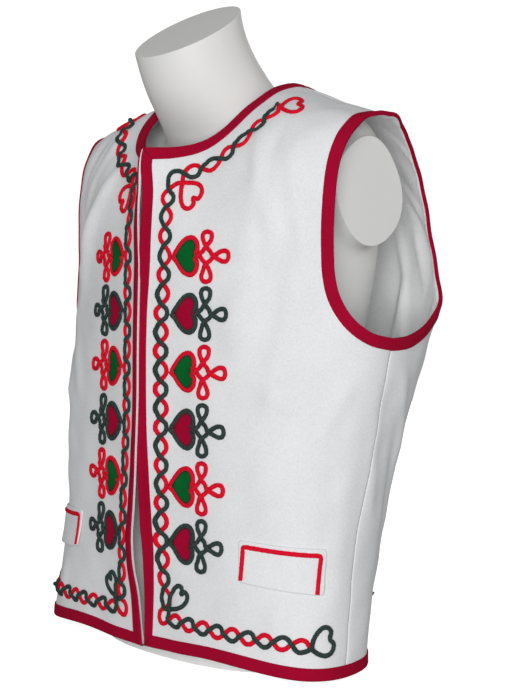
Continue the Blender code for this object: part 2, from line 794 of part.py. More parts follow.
for name in ("neck_b", "hem_b", "arm_b"):
    bound |= edges_of(name) | edges_of(name, True)
back_tris = cloth.faces(back_ids) + cloth.faces(back_ids, True)
layer("back", back_tris, -CLOTH, 0.0, WHITE, SEAM_PULL, bound)
# the lining of the back, down to below the armholes, where it shows through them
upper_ids = [i for i in back_ids if MID[i, 1] > 0.235]
upper_tris = cloth.faces(upper_ids) + cloth.faces(upper_ids, True)
layer("back_lining", upper_tris, LINING_IN, LINING_OUT, LINEN, SEAM_PULL, bound)

# bound edges
OVER = GAP + BIND_THICK
for side, right in names.items():
    tris = cloth.faces(strip_faces("arm_f"), right) + cloth.faces(strip_faces("arm_b"), right)
    bound = edges_of("arm_f", right) | edges_of("arm_b", right)
    layer(side + "_armhole_binding", tris, GAP, OVER, CRIMSON, 0.0, bound, DEEP, turn=TURN_GAP)
    tris = cloth.faces(strip_faces("front"), right)
    layer(side + "_front_binding", tris, GAP, OVER, CRIMSON, SEAM_PULL, edges_of("front", right), DEEP)
for name, parts in (("neck_binding", ("neck_f", "neck_b")), ("hem_binding", ("hem_f", "hem_b"))):
    tris, bound = [], set()
    for right in (False, True):
        for part in parts:
            tris += cloth.faces(strip_faces(part), right)
            bound |= edges_of(part, right)
    layer(name, tris, GAP, OVER, CRIMSON, SEAM_PULL, bound, DEEP)


# ---------------------------------------------------------------- flaps, cords
LAY = 0.0004              # under what is sewn on the cloth
FLAP_THICK = 0.0018
FELT = 0.0012
HOP = CORD_HIGH + 0.0005  # a cord that passes over another rises by this
FRONT_ROWS = np.array(front_ids)


def on_cloth(spots, right=False, rise_of=None):
    """Points on the triangles of the cloth itself, and the cloth's normals there."""
    spots = np.atleast_2d(spots)
    a, b = PA[PF[FRONT_ROWS]], PB[PF[FRONT_ROWS]]
    if BACK_WORK[0]:
        rows = np.array(back_ids)
        a, b = PA[PF[rows]], PB[PF[rows]]
    else:
        rows = FRONT_ROWS
    ax, ay = a[:, 0], b[:, 0]
    bx, by = a[:, 1] - ax, b[:, 1] - ay
    cx, cy = a[:, 2] - ax, b[:, 2] - ay
    det = bx * cy - by * cx
    points, normals, rises = [], [], []
    for x, y in spots:
        u = ((x - ax) * cy - (y - ay) * cx) / det
        v = (bx * (y - ay) - by * (x - ax)) / det
        share = np.stack([1 - u - v, u, v], axis=1)
        best = int(np.argmax(share.min(axis=1)))
        ids = PF[rows[best]] + (cloth.half if right else 0)
        ids = cloth.join[ids]
        points.append(share[best] @ cloth.point[ids])
        normals.append(share[best] @ cloth.plane[ids])
        if rise_of:
            rises.append(share[best] @ np.array([rise_of(int(k)) for k in ids]))
    normals = np.array(normals)
    normals /= np.linalg.norm(normals, axis=1)[:, None]
    if rise_of:
        return np.array(points), normals, np.array(rises)
    return np.array(points), normals


BACK_WORK = [False]


def sit(spots, rise, right, base):
    """Points over the cloth at these pattern spots, and the normals there."""
    if callable(base):
        point, normal, under = on_cloth(spots, right, base)
        return point + normal * (under[:, None] + rise), normal
    point, normal = on_cloth(spots, right)
    return point + normal * (base + rise), normal


def clearance(spots, across, right, base, closed):
    """How much more each point must rise for the straight pieces between the points
    to clear the cloth."""
    count = len(spots)
    more = np.zeros((count, 1))
    for shift in (0 * across, across, -across):
        track = spots + shift
        end, _ = sit(track, 0.0, right, base)
        last = count if closed else count - 1
        here = np.arange(last)
        after = (here + 1) % count
        for t in (0.25, 0.5, 0.75):
            spot, normal = sit(track[here] * (1 - t) + track[after] * t, 0.0, right, base)
            over = ((spot - end[here] * (1 - t) - end[after] * t) * normal).sum(1) - 0.0001
            over = np.maximum(over, 0)[:, None]
            more[here] = np.maximum(more[here], over)
            more[after] = np.maximum(more[after], over)
    return more


def nearest(spot, line):
    """Distance from a spot to a line of rows, and the line's rise there."""
    p, q = line[:-1, :2], line[1:, :2]
    run = q - p
    t = np.clip(((spot - p) * run).sum(1) / (run ** 2).sum(1), 0, 1)
    gap = np.linalg.norm(spot - p - run * t[:, None], axis=1)
    best = int(np.argmin(gap))
    return gap[best], line[best, 2] + (line[best + 1, 2] - line[best, 2]) * t[best]


def across_of(spots, closed, width):
    if closed:
        return inward(np.concatenate([spots[-1:], spots, spots[:1]]), True)[1:-1] * width / 2
    return inward(spots, True) * width / 2


def settle(path, right=False, closed=False, width=CORD_WIDTH, below=None):
    """Rows (a, b, rise) of a cord laid over the cloth, over another cord and over its
    own earlier run."""
    spots = np.array(path, float)[:, :2]
    across = across_of(spots, closed, width)
    rise = clearance(spots, across, right, 0.0, closed)
    path = np.concatenate([spots, rise], axis=1)
    for i in range(len(path)):
        lines = [below] if below is not None else []
        if i > 4:
            lines.append(path[:i - 2])
        for line in lines:
            gap, under = nearest(spots[i], line)
            for beside in (spots[i] + across[i], spots[i] - across[i]):
                under = max(under, nearest(beside, line)[1])
            share = np.clip((0.0066 - gap) / 0.0050, 0, 1)
            path[i, 2] = max(path[i, 2], share * (under + HOP))
    return path


def cord(name, path, colour, right=False, closed=False, width=CORD_WIDTH, high=CORD_HIGH, base=LAY):
    """A couched cord along rows of (a, b, rise): flat below, ridged on top."""
    path = np.array(path, float)
    spots, rise = path[:, :2], path[:, 2:]
    across = across_of(spots, closed, width)
    middle, normal = sit(spots, rise, right, base)
    one, _ = sit(spots + across, rise, right, base)
    other, _ = sit(spots - across, rise, right, base)
    ring_points = np.stack([one, other, middle + normal * high], axis=1)
    point = middle
    count = len(point)
    points = ring_points.reshape(-1, 3)
    polygons = []
    for i in range(count if closed else count - 1):
        j = (i + 1) % count
        for k in range(3):
            m = (k + 1) % 3
            polygons.append((3 * i + k, 3 * j + k, 3 * j + m, 3 * i + m))
    if not closed:
        polygons.append((0, 1, 2))
        polygons.append((3 * count - 1, 3 * count - 2, 3 * count - 3))
    thing = solid(name, points, polygons, colour)
    face_out(thing)
    return thing


def face_out(thing):
    bm = bmesh.new()
    bm.from_mesh(thing.data)
    bmesh.ops.recalc_face_normals(bm, faces=bm.faces)
    bm.to_mesh(thing.data)
    bm.free()


# Half of a heart's outline: along its axis from the point, across.
HEART = ((0.00, 0.00), (0.17, 0.33), (0.42, 0.74), (0.66, 0.97), (0.86, 0.94), (0.98, 0.66),
         (0.98, 0.36), (0.86, 0.06))


def heart(tip, angle, length, width, steps, turn_back=1):
    """A heart's line from its point all round and back to the point."""
    half = np.array(HEART)
    other = half[::-1][:-1] * (1, -1)
    outline = np.concatenate([half, other, half[:1]]) if turn_back > 0 else None
    if outline is None:
        outline = np.concatenate([half * (1, -1), half[::-1][:-1], half[:1]])
    k = np.linspace(0, len(outline) - 1, 200)
    index = np.arange(len(outline))
    u = smooth(index, outline[:, 0], k) * length
    v = smooth(index, outline[:, 1], k) * width / 2
    run = np.concatenate([[0], np.cumsum(np.hypot(np.diff(u), np.diff(v)))])
    at = np.linspace(0, run[-1], steps + 1)
    u, v = np.interp(at, run, u), np.interp(at, run, v)
    c, s = cos(angle), sin(angle)
    return np.stack([tip[0] + u * c - v * s, tip[1] + u * s + v * c], axis=1)


def loop_out(start, angle, length, width, steps):
    """A drop-shaped loop that leaves a crossing and comes back to it."""
    t = np.linspace(0, 2 * pi, steps + 1)
    u = length * np.sin(t / 2)
    v = width / 2 * np.sin(t)
    c, s = cos(angle), sin(angle)
    return np.stack([start[0] + u * c - v * s, start[1] + u * s + v * c], axis=1)


MOTIF_TIP = 0.0420        # from the middle to the line of the outline's point
MOTIF_MIDDLE = 0.0850     # the diamond
DIAMOND = 0.0098
HEART_LENGTH = 0.0265
HEART_WIDTH = 0.0420
TREFOIL_LOOP = 0.0168
TREFOIL_WIDE = 0.0115


def motif_path(a0, b0):
    """One cord: round the heart, through a diamond and three loops, over itself
    at the four corners of the diamond. Rows of (a, b, rise)."""
    squeeze_b = 0.80 if b0 > CHEST - 0.012 else 1.0
    mid = MOTIF_MIDDLE - MOTIF_TIP
    west = np.array([mid - DIAMOND, 0.0])
    south = np.array([mid, -DIAMOND])
    east = np.array([mid + DIAMOND, 0.0])
    north = np.array([mid, DIAMOND])
    outline = heart((0.0, 0.0), 0.0, HEART_LENGTH, HEART_WIDTH, 14)
    upper, lower = outline[1:7], outline[8:-1]
    rows = [(0.0, 0.0, 0.0)]
    rows += [(u, v, 0.0) for u, v in upper]
    rows += [(*(west - (0.0042, -0.0034)), 0.0), (*west, 0.0), (*((west + south) / 2), 0.0)]
    rows += [(*south, 0.0)]
    for corner, angle, over in ((south, -pi / 2, True), (east, 0.0, True), (north, pi / 2, True)):
        loop_points = loop_out(corner, angle, TREFOIL_LOOP, TREFOIL_WIDE, 6)
        rows += [(*q, 0.0) for q in loop_points[1:-1]]
        rows += [(*corner, HOP)]
        nxt = {-pi / 2: east, 0.0: north, pi / 2: west}[angle]
        rows += [(*((corner + nxt) / 2), 0.0)]
        if nxt is not west:
            rows += [(*nxt, 0.0)]
    rows += [(*west, HOP), (*(west - (0.0042, 0.0034)), 0.0)]
    rows += [(u, v, 0.0) for u, v in lower]
    return [(a0 + u, b0 + v * (squeeze_b if v > 0 else 1.0), r) for u, v, r in rows]


# The plait of two cords: a run of crossings, the cords swinging out between them.
# Where the middle of the plait runs down the front: height b, from the middle a.
PLAIT_MIDDLE = ((0.045, 0.0375), (0.090, 0.0325), (0.135, 0.0308), (0.220, 0.0300),
                (0.300, 0.0285), (0.380, 0.0280), (0.440, 0.0298), (0.500, 0.0290))
# Crossings along the neckline from the shoulder, (a, b).
NECK_CROSSINGS = ((0.1275, 0.6150), (0.1208, 0.5932), (0.1112, 0.5724), (0.0983, 0.5547),
                  (0.0834, 0.5392), (0.0632, 0.5277), (0.0428, 0.5200))
CORNER_TIP = (0.0430, 0.5095)
BOTTOM_TIP = (0.0450, 0.0455)
HEM_CROSSINGS = [(0.0440 + 0.0202 * k, 0.0335 - 0.0006 * k) for k in range(9)]
HEM_TIP = (0.2195, 0.0272)
UP_SCALE = 0.80           # pattern b per metre of height, just above the chest


def front_crossings():
    rows = []
    for k in range(23):
        height = TOP_HEART + (3.5 - k) * MOTIF_PITCH / 3
        b = height if height < CHEST else CHEST + (height - CHEST) * UP_SCALE
        rows.append((float(smooth([r[0] for r in PLAIT_MIDDLE], [r[1] for r in PLAIT_MIDDLE], b)), b))
    return rows


def weave(crossings, first, over):
    """Rows (a, b, rise) through crossings; `first` is the side of the first swing
    and the swings take turns. `over` is the cord that passes above."""
    rows = []
    spots = np.array(crossings)
    for k in range(len(spots) - 1):
        p, q = spots[k], spots[k + 1]
        run = q - p
        across = np.array([-run[1], run[0]]) / np.linalg.norm(run)
        sign = first * (1 if k % 2 == 0 else -1)
        rows.append((*p, HOP if over else 0.0))
        for t in (1 / 3, 2 / 3):
            spot = p + run * t + across * sign * PLAIT_SWING * 0.92
            rows.append((*spot, 0.0))
    rows.append((*spots[-1], HOP if over else 0.0))
    return rows


def flat_rows(points):
    return [(float(a), float(b), 0.0) for a, b in points]


def plaits(side, right):
    down = front_crossings()
    # red: heart on the shoulder, neck, heart in the corner, front, round the corner, hem
    red = flat_rows(heart((0.1275, 0.6150), 1.70, 0.0440, 0.0340, 13)[:-1])
    red += [(0.1275, 0.6150, HOP)]
    red += weave(NECK_CROSSINGS, 1, False)[1:]
    red += flat_rows(heart(CORNER_TIP, -0.66, 0.0340, 0.0290, 12, -1)[:-1])
    red += [(*CORNER_TIP, HOP), (0.0365, 0.5085, 0.0)]
    red += weave(down, -1, False)
    red += flat_rows([(0.0300, 0.0425), (0.0272, 0.0355), (0.0305, 0.0280), (0.0375, 0.0285)])
    red += weave(HEM_CROSSINGS + [HEM_TIP], 1, False)[:-1]
    green = weave(NECK_CROSSINGS, -1, True)[1:]
    green += flat_rows([(0.0365, 0.5215), (0.0300, 0.5195), (0.0268, 0.5130)])
    green += weave(down, 1, True)
    green += flat_rows(heart(BOTTOM_TIP, 0.72, 0.0330, 0.0270, 12, -1)[:-1])
    green += [(*BOTTOM_TIP, HOP), (0.0442, 0.0395, HOP)]
    green += weave(HEM_CROSSINGS + [HEM_TIP], -1, True)[:-1]
    green += flat_rows(heart(HEM_TIP, 0.32, 0.0375, 0.0340, 13)[:-1])
    green += [(*HEM_TIP, HOP)]
    red = settle(red, right)
    green = settle(green, right, below=red)
    cord(side + "_plait_red", red, RED, right)
    cord(side + "_plait_green", green, DARK, right)


def heart_fill(name, a0, b0, colour, right=False):
    squeeze_b = 0.80 if b0 > CHEST - 0.012 else 1.0
    inset = CORD_WIDTH / 2 + GAP
    outline = heart((0.0, 0.0), 0.0, HEART_LENGTH, HEART_WIDTH, 14)[:-1]
    before, after = np.roll(outline, 1, axis=0), np.roll(outline, -1, axis=0)
    run = after - before
    square = np.stack([run[:, 1], -run[:, 0]], axis=1)
    square /= np.linalg.norm(square, axis=1)[:, None]
    rim = outline + square * inset
    rim[0] = outline[0] + (inset * 1.55, 0)
    notch = len(outline) // 2
    rim[notch] = outline[notch] - (inset * 1.3, 0)
    middle = rim.mean(axis=0)
    spots = np.concatenate([[middle], rim])
    spots = np.stack([
        a0 + spots[:, 0], b0 + spots[:, 1] * np.where(spots[:, 1] > 0, squeeze_b, 1.0)
    ], axis=1)
    point, normal = on_cloth(spots, right)
    count = len(spots)
    points = np.concatenate([point + normal * LAY, point + normal * (LAY + FELT)])
    polygons = []
    for i in range(1, count):
        j = i % (count - 1) + 1
        polygons += [(0, i, j), (count, count + j, count + i), (i, i + count, j + count, j)]
    thing = solid(name, points, polygons, colour)
    face_out(thing)


for side, right in names.items():
    plaits(side, right)
    for k in range(HEARTS):
        height = TOP_HEART - k * MOTIF_PITCH
        b0 = height if height < CHEST else CHEST + (height - CHEST) * UP_SCALE
        line_colour, fill_colour = ((RED, GREEN), (DARK, WINE))[k % 2]
        path = settle(motif_path(MOTIF_TIP, b0), right, True)
        cord("%s_motif_%d" % (side, k + 1), path, line_colour, right, True)
        heart_fill("%s_heart_%d" % (side, k + 1), MOTIF_TIP, b0, fill_colour, right)
    # pocket flap, held along its top edge and free below
    flap_tris = cloth.faces(FLAP_FACES, right)
    flap_points = {k for f in flap_tris for k in f}
    low = min(cloth.point[k][2] for k in flap_points)
    top = max(cloth.point[k][2] for k in flap_points)

    def lifted(k, more=0.0):
        share = (top - cloth.point[k][2]) / (top - low)
        return LAY + more + 0.0016 * share

    layer(side + "_pocket_flap", flap_tris, lambda k: lifted(k), lambda k: lifted(k, FLAP_THICK), WHITE)
    edge = [FLAP[0], FLAP[3], FLAP[2], FLAP[1]]
    inset = ((0.0062, 0.0015), (0.0072, -0.0068), (-0.0072, -0.0068), (-0.0062, 0.0015))
    corners = [np.array(c) + d for c, d in zip(edge, inset)]
    path = []
    for p, q, n in ((corners[0], corners[1], 5), (corners[1], corners[2], 13), (corners[2], corners[3], 5)):
        path += [p + (q - p) * t for t in np.linspace(0.03, 0.97, n)]
    rows = [(a, b, 0.0) for a, b in path]
    cord(side + "_flap_cord", rows, RED, right, high=0.0018, base=lambda k: lifted(k, FLAP_THICK + 0.0005))

# one motif low on each side of the back
BACK_WORK[0] = True
for side, right in names.items():
    a0 = BACK_MOTIF[0]
    rows = motif_path(MOTIF_TIP, BACK_MOTIF[1])
    rows = [(BACK_MOTIF[0] + a - MOTIF_TIP, b, r) for a, b, r in rows]
    cord(side + "_back_motif", settle(rows, right, True), DARK, right, True)
    heart_fill(side + "_back_heart", BACK_MOTIF[0], BACK_MOTIF[1], WINE, right)


# ---------------------------------------------------------------- the dress form
FORM_BASE = 0.0250
STUMP_X = 0.1935
# height above the hem, half width, middle y, half depth
FORM_COLUMNS = ("height", "half_width", "middle_y", "half_depth")
FORM = (
    (-0.060, 0.160, -0.100, 0.082),
    (0.060, 0.162, -0.096, 0.088),
    (0.190, 0.152, -0.080, 0.092),
    (0.320, 0.162, -0.056, 0.112),
    (0.420, 0.168, -0.040, 0.126),
    (0.490, 0.176, -0.033, 0.118),
    (0.540, 0.186, -0.031, 0.096),
    (0.5787, 0.188, -0.031, 0.070),
    (0.5987, 0.176, -0.032, 0.050),
    (0.6137, 0.150, -0.033, 0.040),
    (0.6257, 0.118, -0.034, 0.034),
    (0.6337, 0.088, -0.035, 0.028),
)
# neck: point on its axis (y, height), half width, half depth
NECK = (
    (-0.038, 0.545, 0.104, 0.074),
    (-0.060, 0.590, 0.086, 0.074),
    (-0.089, 0.625, 0.073, 0.071),
    (-0.112, 0.652, 0.067, 0.068),
    (-0.127, 0.678, 0.065, 0.067),
    (-0.134, 0.702, 0.066, 0.068),
    (-0.141, 0.730, 0.067, 0.069),
    (-0.152, 0.775, 0.068, 0.070),
)
NECK_RIM = (-0.134, 0.702)
NECK_TILT = 0.5515        # the neck is cut square to this lean
STUMP_MIDDLE = (-0.036, 0.514)
STUMP_HALF = (0.060, 0.055)
STUMP_TURN = 0.60


def ring_stack(rings):
    count = len(rings[0])
    points = [p for r in rings for p in r]
    polygons = []
    for k in range(len(rings) - 1):
        for i in range(count):
            j = (i + 1) % count
            polygons.append((k * count + i, k * count + j, (k + 1) * count + j, (k + 1) * count + i))
    polygons.append(tuple(range(count))[::-1])
    polygons.append(tuple((len(rings) - 1) * count + i for i in range(count)))
    return points, polygons


def form_parts():
    around = np.linspace(0, 2 * pi, 40, endpoint=False)
    torso = []
    for height in np.concatenate([np.linspace(-0.06, 0.56, 24), np.linspace(0.5787, 0.6337, 8)]):
        half_width, middle, depth = [column(FORM, k, height) for k in (1, 2, 3)]
        c, s = np.cos(around), np.sin(around)
        reach = (np.abs(c) ** 2.3 + np.abs(s) ** 2.3) ** (-1 / 2.3)
        torso.append([(half_width * q * x, middle + depth * q * y, height)
                      for x, y, q in zip(c, s, reach)])
    yield ring_stack(torso)
    lean = np.array([0.0, -sin(NECK_TILT), cos(NECK_TILT)])
    flat = np.array([0.0, cos(NECK_TILT), sin(NECK_TILT)])
    neck = []
    for y, height, half_width, depth in NECK:
        share = np.clip((height - 0.56) / 0.11, 0, 1)
        away = np.array([0.0, cos(NECK_TILT * share), sin(NECK_TILT * share)])
        centre = np.array([0.0, y, height])
        neck.append([centre + np.array([1.0, 0, 0]) * half_width * cos(t) + away * depth * sin(t)
                     for t in around])
    yield ring_stack(neck)
    for sign in (-1, 1):
        stump = []
        for x, big in ((0.090, 1.10), (0.130, 1.10), (0.165, 1.04), (0.200, 1.0), (0.235, 0.97)):
            row = []
            for t in around:
                u, v = STUMP_HALF[1] * cos(t) * big, STUMP_HALF[0] * sin(t) * big
                row.append((
                    sign * x,
                    STUMP_MIDDLE[0] + u * cos(STUMP_TURN) - v * sin(STUMP_TURN),
                    STUMP_MIDDLE[1] + u * sin(STUMP_TURN) + v * cos(STUMP_TURN),
                ))
            stump.append(row)
        yield ring_stack(stump)


def cut_flat(bm, point, normal):
    parts = bm.verts[:] + bm.edges[:] + bm.faces[:]
    done = bmesh.ops.bisect_plane(
        bm, geom=parts, dist=1e-6, plane_co=Vector(point), plane_no=Vector(normal), clear_outer=True
    )
    edges = [e for e in done["geom_cut"] if isinstance(e, bmesh.types.BMEdge)]
    bmesh.ops.contextual_create(bm, geom=edges)


def build_form():
    joined = bmesh.new()
    for points, polygons in form_parts():
        base = len(joined.verts)
        for p in points:
            joined.verts.new(tuple(map(float, p)))
        joined.verts.ensure_lookup_table()
        for f in polygons:
            joined.faces.new([joined.verts[base + i] for i in f])
    bmesh.ops.recalc_face_normals(joined, faces=joined.faces)
    mesh = bpy.data.meshes.new("form_rough")
    joined.to_mesh(mesh)
    joined.free()
    rough = bpy.data.objects.new("form_rough", mesh)
    bpy.context.scene.collection.objects.link(rough)
    whole = rough.modifiers.new("whole", "REMESH")
    whole.mode = "VOXEL"
    whole.voxel_size = 0.008
    soft = rough.modifiers.new("soft", "SMOOTH")
    soft.factor = 0.6
    soft.iterations = 14
    fewer = rough.modifiers.new("fewer", "DECIMATE")
    fewer.ratio = 0.036
    graph = bpy.context.evaluated_depsgraph_get()
    smooth_mesh = bpy.data.meshes.new_from_object(rough.evaluated_get(graph))
    bpy.data.objects.remove(rough, do_unlink=True)
    bm = bmesh.new()
    bm.from_mesh(smooth_mesh)
    cut_flat(bm, (0, 0, FORM_BASE - HEM_LIFT + GAP), (0, 0, -1))
    cut_flat(bm, (STUMP_X, 0, 0), (1, 0, 0))
    cut_flat(bm, (-STUMP_X, 0, 0), (-1, 0, 0))
    cut_flat(bm, (0, *NECK_RIM), (0, -sin(NECK_TILT), cos(NECK_TILT)))
    bmesh.ops.remove_doubles(bm, verts=bm.verts, dist=0.00005)
    bmesh.ops.triangulate(bm, faces=bm.faces)
    bmesh.ops.recalc_face_normals(bm, faces=bm.faces)
    bmesh.ops.translate(bm, verts=bm.verts, vec=Vector(SHIFT))
    mesh = bpy.data.meshes.new("form_torso")
    bm.to_mesh(mesh)
    bm.free()
    mesh.materials.append(SHELL)
    thing = bpy.data.objects.new("form_torso", mesh)
    bpy.context.scene.collection.objects.link(thing)
    around = np.linspace(0, 2 * pi, 32, endpoint=False)
    half_width, middle, depth = [float(column(FORM, k, 0.0)) for k in (1, 2, 3)]
    c, s = np.cos(around), np.sin(around)
    reach = (np.abs(c) ** 2.3 + np.abs(s) ** 2.3) ** (-1 / 2.3) * 0.97
    rings = [
        [(half_width * q * x, middle + BODY_Y + depth * q * y, z) for x, y, q in zip(c, s, reach)]
        for z in (0.0, FORM_BASE)
    ]
    points, polygons = ring_stack(rings)
    face_out(solid("form_base", points, polygons, BASE))


build_form()
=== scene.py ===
# %% [markdown]
# # An embroidered folk vest on a torso dress form
# The real thing is a sleeveless vest of felted white wool, cut in two fronts and a
# back, bound all round with crimson braid and worked with two couched cords. It stands
# on a smooth shop form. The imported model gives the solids. This lesson dresses them:
# each cloth piece becomes a finer shell with its own folds, and each cord a round one.

# %% Tools and the frame
from math import copysign, cos, pi, radians, sin

import bmesh
import bpy
import numpy as np
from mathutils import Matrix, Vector
from mathutils.geometry import delaunay_2d_cdt


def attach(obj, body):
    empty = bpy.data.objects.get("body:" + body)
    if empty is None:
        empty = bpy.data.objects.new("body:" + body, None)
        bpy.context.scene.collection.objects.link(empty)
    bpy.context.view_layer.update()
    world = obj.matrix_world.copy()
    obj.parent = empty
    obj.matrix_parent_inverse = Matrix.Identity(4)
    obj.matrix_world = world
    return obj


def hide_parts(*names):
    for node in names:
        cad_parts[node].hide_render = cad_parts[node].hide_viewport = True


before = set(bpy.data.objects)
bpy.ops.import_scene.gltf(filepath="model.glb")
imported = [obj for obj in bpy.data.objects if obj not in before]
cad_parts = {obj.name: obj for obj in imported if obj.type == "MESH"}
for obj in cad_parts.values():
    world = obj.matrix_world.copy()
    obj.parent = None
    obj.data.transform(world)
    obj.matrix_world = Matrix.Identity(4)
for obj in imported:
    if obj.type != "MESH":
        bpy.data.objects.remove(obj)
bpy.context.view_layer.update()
BODY = "root"

# %% [markdown]
# ## Camera, floor and light
# The vest is seen from the wearer's left front, at chest height and looking a little
# down. The camera is placed by its position, its two turns and its lens. The light is
# one large soft source in front and four weaker ones round it and above, so that the
# front of the cloth is bright, the side falls off softly and folds show.

# %% Camera
CAMERA_PLACE = (1.19504, -1.21729, 0.45897)
CAMERA_LEAN = 86.59       # degrees from straight down
CAMERA_TURN = 43.9        # degrees round from looking along +Y
camera_data = bpy.data.cameras.new("camera")
camera_data.sensor_fit = "VERTICAL"
camera_data.sensor_height = 24.0
camera_data.lens = 48.84
camera = bpy.data.objects.new("camera", camera_data)
camera.location = CAMERA_PLACE
camera.rotation_euler = (radians(CAMERA_LEAN), 0.0, radians(CAMERA_TURN))
bpy.context.scene.collection.objects.link(camera)
bpy.context.scene.camera = camera
print("camera", CAMERA_PLACE, "lens", camera_data.lens, "mm")


# %% Helpers for objects and materials
def link(thing):
    """Puts an object in the scene."""
    bpy.context.scene.collection.objects.link(thing)
    return thing


def shader_material(name, colour, roughness):
    """A new material: its nodes, its links and its Principled shader."""
    found = bpy.data.materials.new(name)
    found.use_nodes = True
    nodes, links = found.node_tree.nodes, found.node_tree.links
    shader = nodes["Principled BSDF"]
    shader.inputs["Base Color"].default_value = (*colour, 1.0)
    shader.inputs["Roughness"].default_value = roughness
    return found, nodes, links, shader


def noise(nodes, links, place, scale, detail=4.0, roughness=0.6):
    """A noise texture in metres of the object's own space."""
    node = nodes.new("ShaderNodeTexNoise")
    node.inputs["Scale"].default_value = scale
    node.inputs["Detail"].default_value = detail
    node.inputs["Roughness"].default_value = roughness
    links.new(place.outputs["Object"], node.inputs["Vector"])
    return node


def ramp(nodes, links, source, stops):
    """A colour ramp: stops are (position, colour)."""
    node = nodes.new("ShaderNodeValToRGB")
    items = node.color_ramp.elements
    while len(items) < len(stops):
        items.new(0.5)
    for item, (position, colour) in zip(items, stops):
        item.position = position
        item.color = (*colour, 1.0)
    links.new(source, node.inputs["Fac"])
    return node


def blend(nodes, links, how, factor, one, other):
    """Mixes two colours; the factor is a number or an output."""
    node = nodes.new("ShaderNodeMix")
    node.data_type = "RGBA"
    node.blend_type = how
    if isinstance(factor, float):
        node.inputs["Factor"].default_value = factor
    else:
        links.new(factor, node.inputs["Factor"])
    links.new(one, node.inputs["A"])
    links.new(other, node.inputs["B"])
    return node.outputs["Result"]


def bump(nodes, links, height, distance, strength, below=None):
    """A bump from a height, on top of another one if that is given."""
    node = nodes.new("ShaderNodeBump")
    node.inputs["Distance"].default_value = distance
    node.inputs["Strength"].default_value = strength
    links.new(height, node.inputs["Height"])
    if below is not None:
        links.new(below, node.inputs["Normal"])
    return node.outputs["Normal"]


# %% Floor, backdrop and lights
floor_material, _, _, floor_shader = shader_material("studio_paper", (0.93, 0.93, 0.93), 0.9)
floor_shader.inputs["Specular IOR Level"].default_value = 0.0
floor_shader.inputs["Emission Color"].default_value = (1.0, 1.0, 1.0, 1.0)
floor_shader.inputs["Emission Strength"].default_value = 0.80
WALL = 3.2                # from the middle to where the paper turns up
WALL_TOP = 6.0            # height of the wall
TURN_UP = 1.0             # radius of that turn
STEPS_ROUND = 96
sweep = bmesh.new()
# the paper is a large disc that turns up into a wall all round
profile = [(0.0, 0.0), (WALL, 0.0)]
profile += [(WALL + TURN_UP * sin(t), TURN_UP * (1 - cos(t))) for t in np.linspace(0.1, pi / 2, 14)]
profile += [(WALL + TURN_UP, WALL_TOP)]
rings = []
for reach, height in profile:
    rings.append([
        sweep.verts.new((reach * cos(t), reach * sin(t), height))
        for t in np.linspace(0, 2 * pi, STEPS_ROUND, endpoint=False)
    ] if reach else [sweep.verts.new((0.0, 0.0, 0.0))])
for low, high in zip(rings, rings[1:]):
    for i in range(STEPS_ROUND):
        j = (i + 1) % STEPS_ROUND
        corners = [low[0], high[i], high[j]] if len(low) == 1 else [low[i], high[i], high[j], low[j]]
        sweep.faces.new(corners)
bmesh.ops.recalc_face_normals(sweep, faces=sweep.faces)
bmesh.ops.reverse_faces(sweep, faces=sweep.faces)
floor_mesh = bpy.data.meshes.new("studio_floor")
sweep.to_mesh(floor_mesh)
sweep.free()
floor_mesh.materials.append(floor_material)
for face in floor_mesh.polygons:
    face.use_smooth = True
studio_floor = link(bpy.data.objects.new("studio_floor", floor_mesh))
# the paper is bright to the camera, but throws no light and no shade on the vest
studio_floor.visible_diffuse = False
studio_floor.visible_glossy = False
studio_floor.visible_shadow = False


def soft_light(name, place, aim, size, watts):
    """A large rectangular lamp that looks at a point."""
    data = bpy.data.lights.new(name, "AREA")
    data.shape = "RECTANGLE"
    data.size, data.size_y = size
    data.energy = watts
    lamp = link(bpy.data.objects.new(name, data))
    lamp.location = place
    lamp.rotation_euler = (Vector(aim) - Vector(place)).to_track_quat("-Z", "Y").to_euler()


MIDDLE = (0.0, 0.0, 0.40)
soft_light("key_light", (1.75, -2.05, 0.55), (0.0, 0.0, 0.30), (1.2, 1.3), 49.5)
soft_light("left_light", (-2.3, -0.3, 1.2), MIDDLE, (1.4, 1.8), 2.5)
soft_light("back_light", (1.6, 2.2, 1.0), MIDDLE, (1.6, 1.8), 8.0)
soft_light("far_light", (-1.5, 2.3, 0.8), (0.0, 0.1, 0.30), (1.4, 1.8), 22.0)
soft_light("top_light", (0.2, 0.0, 2.6), MIDDLE, (2.0, 2.0), 3.5)
world = bpy.data.worlds.new("studio")
world.use_nodes = True
world.node_tree.nodes["Background"].inputs["Color"].default_value = (1.0, 1.0, 1.0, 1.0)
world.node_tree.nodes["Background"].inputs["Strength"].default_value = 0.22
bpy.context.scene.world = world
bpy.context.scene.view_settings.view_transform = "Standard"
print("five soft lights and a pale sweep of", 2 * (WALL + TURN_UP), "m")

# %% [markdown]
# ## The skin that all the cloth follows
# A worn vest is close to a smooth shape, so it is drawn as one: level sections from the
# hem to the chest, then profiles that curve over the shoulders. A point of the flat
# pattern is (a, b): metres round from the centre front, and height. Cloth, binding
# and cords all ask this skin where they lie, which keeps them in step.

